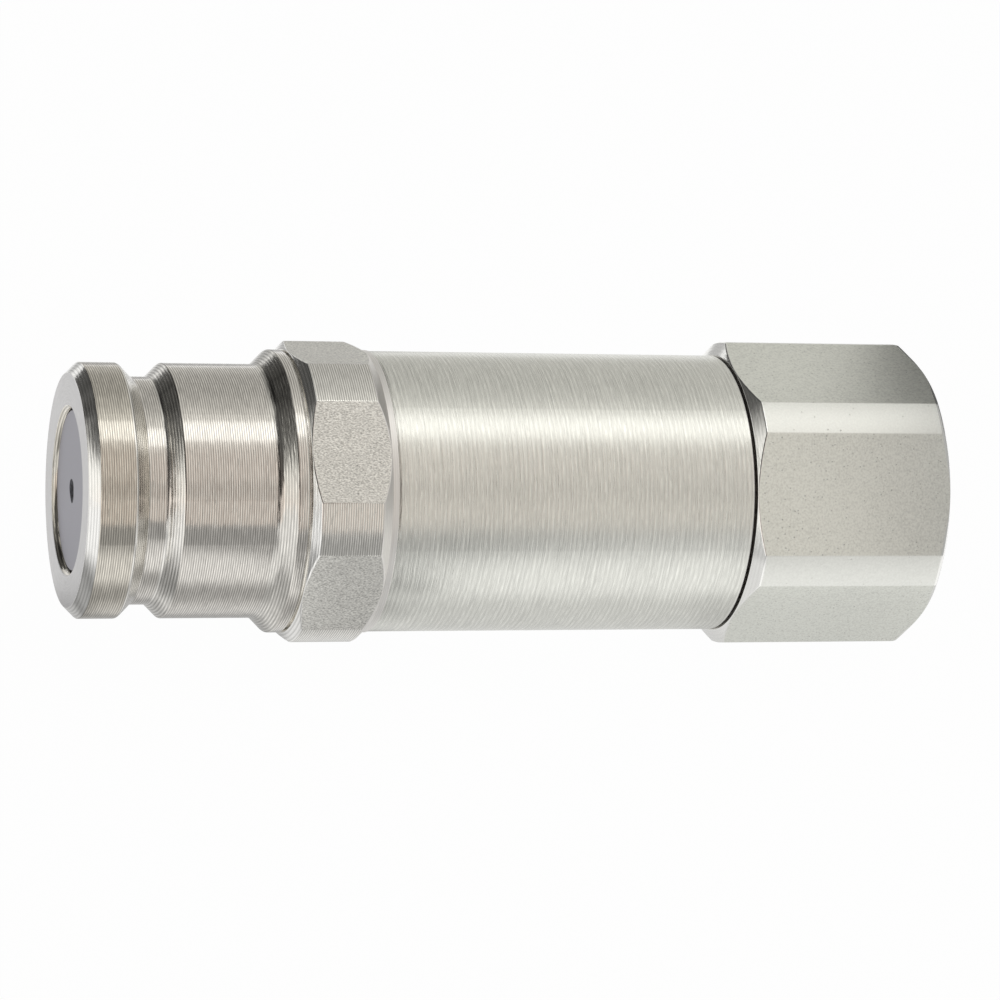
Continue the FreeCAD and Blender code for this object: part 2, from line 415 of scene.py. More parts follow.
@dataclass(frozen=True)
class Marks:
    """What a finish draws on a surface.

    Attributes:
        tone: Socket of the factor on the base colour.
        roughness: Socket of the roughness.
        height: Socket of the relief, in metres.
    """

    tone: Socket
    roughness: Socket
    height: Socket


@dataclass(frozen=True)
class Finish:
    """A surface finish, with the slow change of tone that all of them have.

    Attributes:
        name: Name of the material.
        color: Base colour, linear.
        roughness: Mean roughness.
        cloudiness: Share by which the tone changes over the surface.
        metallic: 1 for a metal and 0 for the rest.
    """

    name: str
    color: Color
    roughness: float
    cloudiness: float = 0.06
    metallic: float = 1.0

    def material(self, effects: SurfaceEffects) -> bpy.types.Material:
        """Build the material.

        Args:
            effects: Shared node groups.

        Returns:
            The material.
        """
        material = bpy.data.materials.new(self.name)
        canvas = Canvas(emptied(material), effects)
        marks = self.marks(canvas)
        tone = canvas.math("MINIMUM", marks.tone, 1.0 / max(self.color))
        tinted = canvas.add(
            "ShaderNodeVectorMath", {0: self.color, "Scale": tone}, operation="SCALE"
        )
        bump = canvas.add("ShaderNodeBump", {"Distance": 1.0, "Height": marks.height})
        shader = canvas.add(
            "ShaderNodeBsdfPrincipled",
            {
                "Base Color": tinted.outputs[0],
                "Metallic": self.metallic,
                "Roughness": marks.roughness,
                "Normal": bump.outputs["Normal"],
            },
        )
        canvas.add("ShaderNodeOutputMaterial", {"Surface": shader.outputs["BSDF"]})
        return material

    def clouds(self, canvas: Canvas) -> Socket:
        """Tone of the patina, about 1."""
        cloud = canvas.group(canvas.effects.patina, {})["Cloud"]
        return canvas.blend(1.0 - self.cloudiness, 1.0 + self.cloudiness, cloud)

    def marks(self, canvas: Canvas) -> Marks:
        """Draw the finish and give its sockets."""
        raise NotImplementedError


@dataclass(frozen=True)
class TurnedSteel(Finish):
    """Plated steel with the lines that a lathe tool leaves.

    Attributes:
        lay: Direction in which the lines follow each other.
        pitch: Millimetres from line to line.
        feed_depth: Depth of the feed lines, in microns.
        streak_depth: Depth of the finer streaks, in microns.
        feed_tone: Share by which the feed lines change the tone.
        streak_tone: Share by which the streaks change the tone.
        stroke_tone: Share by which short strokes change the tone.
        stroke_depth: Depth of the short strokes, in microns.
        wander: Pitches by which the lines drift.
    """

    lay: Lay = Lay.ALONG_AXIS
    pitch: float = 0.22
    feed_depth: float = 2.2
    streak_depth: float = 2.0
    feed_tone: float = 0.38
    streak_tone: float = 0.08
    stroke_tone: float = 0.15
    stroke_depth: float = 4.0
    wander: float = 0.3

    def marks(self, canvas: Canvas) -> Marks:
        """Draw feed lines and streaks over the patina.

        Args:
            canvas: Material's canvas.

        Returns:
            The finish's sockets.
        """
        parts = canvas.split(canvas.position)
        along = parts["X"]
        if self.lay is Lay.OUTWARDS:
            squares = canvas.math("MULTIPLY", parts["Y"], parts["Y"])
            squares = canvas.math("MULTIPLY_ADD", parts["Z"], parts["Z"], squares)
            along = canvas.math("SQRT", squares)
        spacing = {"Along": along, "Pitch": self.pitch * MM, "Wander": self.wander}
        lines = canvas.group(canvas.effects.turning, spacing)
        drawn = (
            (lines["Feed"], self.feed_tone, self.feed_depth),
            (canvas.centred(lines["Streak"]), self.streak_tone, self.streak_depth),
            (canvas.centred(lines["Stroke"]), self.stroke_tone, self.stroke_depth),
        )
        tone = self.clouds(canvas)
        height: Socket | float = 0.0
        for line, share, depth in drawn:
            tone = canvas.math("MULTIPLY_ADD", line, share, tone)
            height = canvas.math("MULTIPLY_ADD", line, depth * MICRON, height)
        low = self.roughness * (1.0 - ROUGHNESS_SPREAD)
        high = self.roughness * (1.0 + ROUGHNESS_SPREAD)
        return Marks(tone, canvas.blend(low, high, lines["Streak"]), height)


@dataclass(frozen=True)
class GrainedSteel(Finish):
    """Plated steel with the speckle of a drawn bar, and a few pits.

    Attributes:
        cell: Size of the speckle, in millimetres.
        stretch: Length of a speck along the axis as a share of its width.
        grain_depth: Depth of the speckle, in microns.
        grain_tone: Share by which the speckle changes the tone.
        glint: Share of painted glint, by which the brightest specks are lightened.
        pit_spacing: Millimetres between pits.
        pit_size: Radius of a pit as a share of the spacing.
        pit_share: Share of the places that hold a pit.
        pit_depth: Depth of a pit, in microns.
        pit_tone: Share of the tone that a pit takes away.
    """

    cell: float = 0.3
    stretch: float = 1.0
    grain_depth: float = 12.0
    grain_tone: float = 0.3
    glint: float = 0.25
    pit_spacing: float = 0.9
    pit_size: float = 0.1
    pit_share: float = 0.3
    pit_depth: float = 20.0
    pit_tone: float = 0.5

    def marks(self, canvas: Canvas) -> Marks:
        """Draw speckle and pits over the patina.

        Args:
            canvas: Material's canvas.

        Returns:
            The finish's sockets.
        """
        speckle = {"Cell": self.cell * MM, "Stretch": self.stretch}
        spread = {
            "Spacing": self.pit_spacing * MM, "Size": self.pit_size, "Share": self.pit_share,
        }
        grain = canvas.group(canvas.effects.grain, speckle)
        pits = canvas.group(canvas.effects.pits, spread)["Mask"]
        tone = self.clouds(canvas)
        tone = canvas.math("MULTIPLY_ADD", grain["Height"], self.grain_tone, tone)
        # painted glint: the brightest specks are lightened in the base colour
        tone = canvas.math("MULTIPLY_ADD", grain["Glint"], self.glint, tone)
        tone = canvas.math("MULTIPLY_ADD", pits, -self.pit_tone, tone)
        height = canvas.math("MULTIPLY", grain["Height"], self.grain_depth * MICRON)
        height = canvas.math("MULTIPLY_ADD", pits, -self.pit_depth * MICRON, height)
        roughness = canvas.math("MULTIPLY_ADD", grain["Height"], GRAIN_ROUGHNESS, self.roughness)
        return Marks(tone, roughness, height)


@dataclass(frozen=True)
class MouldedFinish(Finish):
    """Rubber or plastic with a fine moulded texture.

    Attributes:
        cell: Size of the texture, in millimetres.
        relief: Depth of the texture, in microns.
    """

    metallic: float = 0.0
    cell: float = 0.15
    relief: float = 3.0

    def marks(self, canvas: Canvas) -> Marks:
        """Draw the texture over the patina.

        Args:
            canvas: Material's canvas.

        Returns:
            The finish's sockets.
        """
        grain = canvas.group(canvas.effects.grain, {"Cell": self.cell * MM})
        height = canvas.math("MULTIPLY", grain["Height"], self.relief * MICRON)
        roughness = canvas.math("MULTIPLY_ADD", grain["Height"], MOULD_ROUGHNESS, self.roughness)
        return Marks(self.clouds(canvas), roughness, height)


@dataclass(frozen=True)
class Corner:
    """A corner of a turned outline, in millimetres.

    Attributes:
        x: Place along the axis.
        r: Distance from the axis.
        zone: Finish of the stretch that starts here.
        ease: Radius of the rounding.
    """

    x: float
    r: float
    zone: Zone
    ease: float = 0.0

    def eased(self, before: "Corner", after: "Corner") -> list["Corner"]:
        """Round the corner off.

        Args:
            before: Corner ahead of it on the outline.
            after: Corner behind it.

        Returns:
            Corners along the rounding, or the corner itself where it stays sharp.
        """
        here = Vector((self.x, self.r))
        back = Vector((before.x, before.r)) - here
        on = Vector((after.x, after.r)) - here
        if not self.ease or not back.length or not on.length:
            return [self]
        half = back.angle(on) / 2
        longest = ROUNDED_SHARE * min(back.length, on.length)
        reach = min(self.ease / math.tan(half), longest)
        radius = reach * math.tan(half)
        middle = (back.normalized() + on.normalized()).normalized()
        centre = here + middle * (radius / math.sin(half))
        first = here + back.normalized() * reach - centre
        last = here + on.normalized() * reach - centre
        sweep = math.pi - 2 * half
        steps = max(2, math.ceil(sweep / ARC_STEP))
        rounding = []
        for k in range(steps + 1):
            weight = math.sin(sweep * k / steps) / math.sin(sweep)
            rest = math.sin(sweep * (1 - k / steps)) / math.sin(sweep)
            point = centre + first * rest + last * weight
            rounding.append(Corner(point.x, point.y, self.zone))
        return rounding


def eased_outline(corners: Sequence[Corner]) -> list[Corner]:
    """Round off the corners of an outline between its two ends.

    Args:
        corners: Corners in order.

    Returns:
        The outline with its roundings.
    """
    made = [corners[0]]
    for before, corner, after in zip(corners, corners[1:], corners[2:]):
        made += corner.eased(before, after)
    return [*made, corners[-1]]


@dataclass
class Grid:
    """Rows of points round the axis, each row a closed ring.

    Attributes:
        x: Places along the axis by row and column, in millimetres.
        r: Distances from the axis by row and column.
        zones: Finish of the face after each point, by row and column.
    """

    x: np.ndarray
    r: np.ndarray
    zones: np.ndarray

    @classmethod
    def turned(cls, outline: Sequence[Corner], columns: int) -> "Grid":
        """Turn an outline about the axis.

        Args:
            outline: Points of the outline.
            columns: Number of columns.

        Returns:
            The grid.
        """
        shape = (len(outline), columns)
        x = np.broadcast_to(np.array([[c.x] for c in outline]), shape)
        r = np.broadcast_to(np.array([[c.r] for c in outline]), shape)
        zones = np.empty(shape, dtype=object)
        for row, corner in enumerate(outline):
            zones[row, :] = corner.zone
        return cls(x.copy(), r.copy(), zones)

    def followed_by(self, other: "Grid") -> "Grid":
        """Join another grid on behind the last row."""
        return Grid(
            np.vstack([self.x, other.x]),
            np.vstack([self.r, other.r]),
            np.vstack([self.zones, other.zones]),
        )


@dataclass(frozen=True)
class HexBar:
    """A spanner hexagon with turned-down corners and a conical chamfer at each end.

    Attributes:
        start: Front end along the axis, in millimetres.
        end: Back end.
        half_flats: Half the width across flats.
        corner_r: Radius of the turned corners.
        face_r: Radius of the end faces.
        nose_angle: Angle of the front chamfer to the end face, in degrees.
        back_angle: Angle of the back chamfer.
        turn: Turn about the axis, in degrees.
        edge: Rounding of the edges.
        back_edge: Rounding of the edge behind the flats.
        hold: Plain stretch of a chamfer beside its rounding, as a share of the rounding.
        flat_steps: Columns over a flat.
        band_steps: Columns over half a turned corner.
        edge_steps: Columns over the rounding between them.
    """

    start: float
    end: float
    half_flats: float
    corner_r: float
    face_r: float
    nose_angle: float
    back_angle: float
    turn: float
    edge: float = 0.09
    back_edge: float = 0.09
    hold: float = 0.4
    flat_steps: int = 22
    band_steps: int = 5
    edge_steps: int = 4

    @property
    def limit(self) -> float:
        """Angle from the middle of a flat to its edge."""
        return math.acos(self.half_flats / self.corner_r)

    @property
    def soft(self) -> float:
        """Angle over half the rounding of that edge."""
        return self.edge / self.corner_r

    def _offsets(self) -> np.ndarray:
        """Space the columns of one side, from the middle of one corner to the next.

        Returns:
            Angles from the middle of the flat.
        """
        limit, soft = self.limit, self.soft
        flat = np.linspace(-limit + soft, limit - soft, self.flat_steps + 1)
        edge = np.linspace(limit - soft, limit + soft, self.edge_steps + 1)[1:]
        band = np.linspace(limit + soft, math.pi / SIDES, self.band_steps + 1)[1:]
        right = np.concatenate([edge, band])
        return np.concatenate([-right[-2::-1], flat, right])

    def angles(self) -> np.ndarray:
        """Column angles all round, from +Y towards +Z."""
        middles = math.radians(self.turn) + TURN / SIDES * (np.arange(SIDES) + 0.5)
        return (middles[:, None] + self._offsets()[None, :]).ravel()

    def _radii(self) -> np.ndarray:
        """Work out how far the flats and corners lie from the axis.

        Returns:
            Distances by column.
        """
        limit, soft = self.limit, self.soft
        offset = np.abs(self._offsets())
        flat = self.half_flats / np.cos(offset)
        share = np.clip((offset - limit + soft) / (2 * soft), 0, 1)
        last_flat = self.half_flats / math.cos(limit - soft)
        rounded = self.corner_r - (1 - share) ** 2 * (self.corner_r - last_flat)
        one_side = np.where(offset < limit - soft, flat, rounded)
        return np.tile(one_side, SIDES)

    def grid(self, nose: Zone, back: Zone) -> Grid:
        """Build the outside of the hexagon, from edge to edge of its end faces.

        Args:
            nose: Finish of the front chamfer.
            back: Finish of the back chamfer.

        Returns:
            The grid, on the columns that angles() gives.
        """
        top = self._radii()
        depth = top - self.face_r
        front = self.start + depth * math.tan(math.radians(self.nose_angle))
        rear = self.end - depth * math.tan(math.radians(self.back_angle))
        level = np.full_like(top, self.face_r)
        rows: list[tuple[np.ndarray, np.ndarray]] = [(np.full_like(top, self.start), level)]
        ends = ((front, self.start, 1.0, self.edge), (rear, self.end, -1.0, self.back_edge))
        for x, edge_x, inwards, edge in ends:
            slope = np.hypot(x - edge_x, depth)
            reach = np.minimum(edge, CHAMFER_SHARE * slope)
            on_chamfer = (x + (edge_x - x) * reach / slope, top - depth * reach / slope)
            hold = tuple(a + (a - c) * self.hold for a, c in zip(on_chamfer, (x, top)))
            on_top = (x + inwards * reach, top)
            middle = tuple((a + b) / 4 + c / 2 for a, b, c in zip(on_chamfer, on_top, (x, top)))
            turn = [hold, on_chamfer, middle, on_top]
            rows += turn if inwards > 0 else turn[::-1]
        rows.append((np.full_like(top, self.end), level))
        flats = len(turn)
        zones = np.full((len(rows), len(top)), nose, dtype=object)
        zones[flats + 1:, :] = back
        offsets = np.tile(self._offsets(), SIDES)
        steps = np.append(np.diff(offsets), offsets[0] - offsets[-1] + TURN / SIDES)
        middles = np.abs(offsets + np.where(steps < 0, 0, steps) / 2)
        zones[flats, :] = np.where(middles < self.limit, Zone.FLAT, Zone.BAND)
        return Grid(np.array([x for x, _ in rows]), np.array([r for _, r in rows]), zones)


def mesh_object(
    name: str,
    grid: Grid,
    angles: np.ndarray,
    closed: bool,
    materials: dict[Zone, bpy.types.Material],
) -> bpy.types.Object:
    """Make a mesh object of a grid round the axis.

    Args:
        name: Name of the piece.
        grid: Rows of points.
        angles: Angle of each column, from +Y towards +Z.
        closed: Whether the last row joins the first.
        materials: Material of each zone.

    Returns:
        The object, with its place in its mesh.
    """
    rows, columns = grid.x.shape
    points = np.stack([grid.x, grid.r * np.cos(angles), grid.r * np.sin(angles)], axis=-1) * MM
    slots = {zone: k for k, zone in enumerate(materials)}
    faces, face_slots = [], []
    for i in range(rows if closed else rows - 1):
        after = (i + 1) % rows
        for j in range(columns):
            beside = (j + 1) % columns
            corners = ((i, j), (i, beside), (after, beside), (after, j))
            faces.append([row * columns + column for row, column in corners])
            face_slots.append(slots[grid.zones[i, j]])
    mesh = bpy.data.meshes.new(name)
    mesh.from_pydata(points.reshape(-1, 3).tolist(), [], faces)
    for material in materials.values():
        mesh.materials.append(material)
    mesh.polygons.foreach_set("material_index", face_slots)
    weld(mesh)
    return finished(name, mesh)


def weld(mesh: bpy.types.Mesh) -> None:
    """Merge the points that lie together, as those on the axis do.

    Args:
        mesh: Mesh to change.
    """
    work = bmesh.new()
    work.from_mesh(mesh)
    bmesh.ops.remove_doubles(work, verts=work.verts, dist=WELD_DISTANCE)
    work.to_mesh(mesh)
    work.free()


def smooth(mesh: bpy.types.Mesh) -> None:
    """Shade the round faces of a mesh smoothly and keep its edges crisp."""
    mesh.polygons.foreach_set("use_smooth", [True] * len(mesh.polygons))
    mesh.set_sharp_from_angle(angle=SHARP_ANGLE)


def placed(name: str, data: bpy.types.ID) -> bpy.types.Object:
    """Put a new object in the scene.

    Args:
        name: Name of the object.
        data: Mesh, lamp or camera that it holds.

    Returns:
        The object.
    """
    made = bpy.data.objects.new(name, data)
    bpy.context.scene.collection.objects.link(made)
    return made


def finished(name: str, mesh: bpy.types.Mesh) -> bpy.types.Object:
    """Smooth the round faces of a mesh, keep its edges crisp and put it in the scene.

    Args:
        name: Name of the piece.
        mesh: Mesh of the piece.

    Returns:
        The object, with no modifier left on it.
    """
    smooth(mesh)
    piece = placed(name, mesh)
    normals = piece.modifiers.new("Even normals", "WEIGHTED_NORMAL")
    normals.keep_sharp = True
    return settled(piece)


def settled(piece: bpy.types.Object) -> bpy.types.Object:
    """Turn what a piece's modifiers make into its plain mesh.

    Args:
        piece: Object with modifiers.

    Returns:
        The same object, without them.
    """
    graph = bpy.context.evaluated_depsgraph_get()
    graph.update()
    mesh = bpy.data.meshes.new_from_object(
        piece.evaluated_get(graph), preserve_all_data_layers=True, depsgraph=graph
    )
    piece.modifiers.clear()
    piece.data = mesh
    mesh.name = piece.name
    return piece


def mount(name: str) -> dict:
    """One of the record's mounts, by name."""
    return next(m for m in frame["record"]["mounts"] if m["name"] == name)


class Spans:
    """Places and radii that the frame gives, in millimetres."""

    def __init__(self) -> None:
        """Read them from the nodes' boxes and the mounts."""
        low, high = {}, {}
        for node in frame["nodes"]:
            low[node], high[node] = (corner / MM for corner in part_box(node))
        probe, port = mount("probe"), mount("port")
        self.half_flats = -mount("spanner_flat")["pos_m"][2] / MM
        self.probe_r = probe["dims"]["r_mm"]
        self.flare_start = probe["pos_m"][0] / MM + probe["dims"]["length_mm"] / 2
        self.port_r = port["dims"]["r_mm"]
        self.port_floor = port["pos_m"][0] / MM - port["dims"]["length_mm"] / 2
        self.port_mouth = port["pos_m"][0] / MM + port["dims"]["length_mm"] / 2
        self.body_low, self.body_high = low["nipple_body"], high["nipple_body"]
        self.adapter_low, self.adapter_high = low["adapter"], high["adapter"]
        self.valve_low, self.valve_high = low["valve_poppet"], high["valve_poppet"]
        self.guide_high = high["valve_guide"]
        self.spring_low, self.spring_high = low["valve_spring"], high["valve_spring"]
        self.seal_low, self.seal_high = low["valve_seal"], high["valve_seal"]
        self.ring_low = low["adapter_seal"]
        self.backup_high = high["adapter_backup_ring"]


@dataclass
class HexPiece:
    """A turned piece with a spanner hexagon on it. Sizes are millimetres."""

    spans: Spans

    def hexagon(self) -> HexBar:
        """The piece's hexagon."""
        raise NotImplementedError

    def front(self, bar: HexBar) -> list[Corner]:
        """Outline that leads up to the front of the hexagon."""
        raise NotImplementedError

    def back(self, bar: HexBar) -> list[Corner]:
        """Outline that leads on from the back of the hexagon."""
        raise NotImplementedError

    def shell(
        self,
        name: str,
        chamfers: tuple[Zone, Zone],
        end: Zone,
        materials: dict[Zone, bpy.types.Material],
    ) -> bpy.types.Object:
        """Make the mesh of both outlines, with the hexagon between them.

        Args:
            name: Name of the piece.
            chamfers: Finish of the hexagon's front and back chamfers.
            end: Finish of the face behind it.
            materials: Material of each zone.

        Returns:
            The object.
        """
        bar = self.hexagon()
        angles = bar.angles()
        front, back = self.front(bar), self.back(bar)
        nose = Corner(bar.start, bar.face_r, Zone.BAND)
        tail = Corner(bar.end, bar.face_r, Zone.BAND)
        first = eased_outline([back[-1], *front, nose])[1:-1]
        last = eased_outline([tail, *back, front[0]])[1:-1]
        sides = bar.grid(*chamfers)
        sides.zones[-1, :] = end
        grid = Grid.turned(first, len(angles)).followed_by(sides)
        grid = grid.followed_by(Grid.turned(last, len(angles)))
        return mesh_object(name, grid, angles, True, materials)


@dataclass
class NippleBody(HexPiece):
    """Probe, front hexagon and sleeve: one turned piece, bored through. Sizes are millimetres."""

    nose_chamfer: float = 1.0
    collar: float = 4.4
    groove_depth: float = 1.3
    groove_floor: float = 1.8
    ring_rise: float = 1.4
    ring_width: float = 1.1
    notch_width: float = 0.2
    notch_depth: float = 0.4
    hex_width: float = 7.6
    hex_corner_r: float = 14.358
    hex_turn: float = -16.3
    hex_nose_angle: float = 36.0
    hex_back_angle: float = 48.0
    face_inset: float = 0.05
    shoulder: float = 0.6
    relief_depth: float = 0.05
    relief_width: float = 0.25
    sleeve_inset: float = 0.13
    rim_chamfer: float = 0.45
    nose_bore_r: float = 7.6
    probe_bore_r: float = 10.0
    sleeve_bore_r: float = 10.2
    pilot_bore_r: float = 10.85
    thread_bore_r: float = 11.2
    thread_length: float = 10.5
    thread_step: float = 0.35
    seat_start: float = 6.36
    seat_step: float = 2.4
    guide_seat: float = 44.03

    def hexagon(self) -> HexBar:
        """Size the front spanner hexagon, behind the notch.

        Returns:
            The hexagon.
        """
        start = self.spans.flare_start + self.ring_rise + self.ring_width + self.notch_width
        return HexBar(
            start=start,
            end=start + self.hex_width,
            half_flats=self.spans.half_flats,
            corner_r=self.hex_corner_r,
            face_r=self.spans.half_flats - self.face_inset,
            nose_angle=self.hex_nose_angle,
            back_angle=self.hex_back_angle,
            turn=self.hex_turn,
        )

    def front(self, bar: HexBar) -> list[Corner]:
        """Outline from the rim of the bore to the front of the hexagon.

        Args:
            bar: The hexagon.

        Returns:
            Corners in order.
        """
        probe_r = self.spans.probe_r
        groove_r = probe_r - self.groove_depth
        floor_start = self.collar + self.groove_depth
        floor_end = floor_start + self.groove_floor
        ring_r = probe_r + self.ring_rise
        ring_start = self.spans.flare_start + self.ring_rise
        ring_end = ring_start + self.ring_width
        return [
            Corner(0, self.nose_bore_r + self.rim_chamfer, Zone.FACE, ease=0.25),
            Corner(0, probe_r - self.nose_chamfer, Zone.EDGE, ease=0.07),
            Corner(self.nose_chamfer, probe_r, Zone.COLLAR, ease=0.12),
            Corner(self.collar, probe_r, Zone.GROOVE, ease=0.35),
            Corner(floor_start, groove_r, Zone.PROBE, ease=0.3),
            Corner(floor_end, groove_r, Zone.GROOVE, ease=0.5),
            Corner(floor_end + self.groove_depth, probe_r, Zone.PROBE, ease=0.2),
            Corner(self.spans.flare_start, probe_r, Zone.FLARE, ease=1.1),
            Corner(ring_start, ring_r, Zone.PROBE, ease=0.2),
            Corner(ring_end, ring_r, Zone.PROBE, ease=0.28),
            Corner(ring_end, ring_r - self.notch_depth, Zone.GROOVE),
            Corner(bar.start, ring_r - self.notch_depth, Zone.GROOVE),
        ]

    def back(self, bar: HexBar) -> list[Corner]:
        """Outline from the back of the hexagon over the sleeve and through the bore.

        Args:
            bar: The hexagon.

        Returns:
            Corners in order.
        """
        sleeve_start = bar.end + self.shoulder
        sleeve_end = self.spans.body_high.x
        sleeve_r = self.spans.half_flats - self.sleeve_inset
        thread_start = sleeve_end - self.thread_length
        seat_end = self.seat_start + self.seat_step
        return [
            Corner(sleeve_start, bar.face_r, Zone.GROOVE, ease=0.05),
            Corner(sleeve_start, sleeve_r - self.relief_depth, Zone.SLEEVE),
            Corner(sleeve_start + self.relief_width, sleeve_r, Zone.SLEEVE, ease=0.1),
            Corner(sleeve_end, sleeve_r, Zone.FACE, ease=0.1),
            Corner(sleeve_end, self.thread_bore_r, Zone.BORE, ease=0.1),
            Corner(thread_start, self.thread_bore_r, Zone.BORE),
            Corner(thread_start - self.thread_step, self.pilot_bore_r, Zone.BORE),
            Corner(self.guide_seat, self.pilot_bore_r, Zone.BORE),
            Corner(self.guide_seat, self.sleeve_bore_r, Zone.BORE),
            Corner(bar.end, self.sleeve_bore_r, Zone.BORE),
            Corner(bar.end, self.probe_bore_r, Zone.BORE),
            Corner(seat_end, self.probe_bore_r, Zone.BORE),
            Corner(self.seat_start, self.nose_bore_r, Zone.BORE),
            Corner(self.rim_chamfer, self.nose_bore_r, Zone.COLLAR, ease=0.6),
        ]

    def build(self, materials: dict[Zone, bpy.types.Material]) -> bpy.types.Object:
        """Build the piece in place of its frame node.

        Args:
            materials: Material of each zone.

        Returns:
            The piece, riding on the housing.
        """
        piece = self.shell("turned_body", (Zone.EDGE, Zone.SHOULDER), Zone.SHOULDER, materials)
        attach(piece, HOUSING)
        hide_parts("nipple_body")
        return piece


@dataclass
class PortAdapter(HexPiece):
    """Screwed-in hexagon end with its sealing pilot and female port. Sizes are millimetres."""

    seam: float = 0.27
    washer_face: float = 0.02
    face_inset: float = 0.05
    hex_angle: float = 33.0
    hex_back_angle: float = 28.0
    back_edge: float = 0.25
    thread_r: float = 11.15
    thread_start: float = 52.97
    thread_step: float = 0.35
    seal_clearance: float = 0.03
    groove_r: float = 9.1
    passage_r: float = 7.6
    mouth_r: float = 9.8
    countersink: float = 1.6
    port_root: float = 1.32
    port_root_end: float = 1.0
    port_taper: float = 1 / 32
    runout: float = 2.6
    drill_cone: float = 0.92

    def hexagon(self) -> HexBar:
        """Size the hexagon, from its washer face to the end of the port.

        Returns:
            The hexagon.
        """
        return HexBar(
            start=self.spans.body_high.x + self.seam + self.washer_face,
            end=self.spans.adapter_high.x,
            half_flats=self.spans.half_flats,
            corner_r=self.spans.adapter_high.y,
            face_r=self.spans.half_flats - self.face_inset,
            nose_angle=self.hex_angle,
            back_angle=self.hex_back_angle,
            turn=0.0,
            back_edge=self.back_edge,
        )

    def root_r(self, x: float) -> float:
        """Radius of the port thread's root at a place along the axis."""
        return self.spans.port_r + self.port_root - (self.spans.port_mouth - x) * self.port_taper

    def front(self, bar: HexBar) -> list[Corner]:
        """Outline from the mouth of the passage over the pilot and spigot to the hexagon.

        Args:
            bar: The hexagon.

        Returns:
            Corners in order.
        """
        pilot_r = self.spans.guide_high.y
        pilot_start = self.spans.adapter_low.x
        groove_start = self.spans.ring_low.x - self.seal_clearance
        groove_end = self.spans.backup_high.x + self.seal_clearance
        face = bar.start - self.washer_face
        return [
            Corner(pilot_start, self.mouth_r, Zone.BORE),
            Corner(pilot_start, pilot_r, Zone.BORE, ease=0.1),
            Corner(groove_start, pilot_r, Zone.BORE, ease=0.1),
            Corner(groove_start, self.groove_r, Zone.BORE),
            Corner(groove_end, self.groove_r, Zone.BORE),
            Corner(groove_end, pilot_r, Zone.BORE, ease=0.1),
            Corner(self.thread_start - self.thread_step, pilot_r, Zone.BORE),
            Corner(self.thread_start, self.thread_r, Zone.BORE),
            Corner(face, self.thread_r, Zone.FACE),
            Corner(face, bar.face_r, Zone.EDGE),
        ]

    def back(self, bar: HexBar) -> list[Corner]:
        """Outline from the hexagon's end face into the port and through the passage.

        Args:
            bar: The hexagon.

        Returns:
            Corners in order.
        """
        spans = self.spans
        mouth_r = spans.port_r + self.countersink
        root_end = spans.port_floor + self.runout
        funnel = spans.adapter_low.x + self.mouth_r - self.passage_r
        root_mouth = self.root_r(spans.port_mouth)
        return [
            Corner(bar.end, mouth_r, Zone.FACE, ease=0.08),
            Corner(bar.end - (mouth_r - root_mouth), root_mouth, Zone.BORE, ease=0.06),
            Corner(root_end, self.root_r(root_end), Zone.BORE),
            Corner(spans.port_floor + self.port_root_end, spans.port_r, Zone.BORE),
            Corner(spans.port_floor, spans.port_r, Zone.BORE),
            Corner(spans.port_floor - self.drill_cone, self.passage_r, Zone.BORE),
            Corner(funnel, self.passage_r, Zone.BORE, ease=0.2),
        ]

    def build(self, materials: dict[Zone, bpy.types.Material]) -> bpy.types.Object:
        """Build the piece in place of its frame node.

        Args:
            materials: Material of each zone.

        Returns:
            The piece, riding on the housing.
        """
        piece = self.shell("port_adapter", (Zone.EDGE, Zone.EDGE), Zone.FACE, materials)
        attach(piece, HOUSING)
        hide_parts("adapter")
        return piece


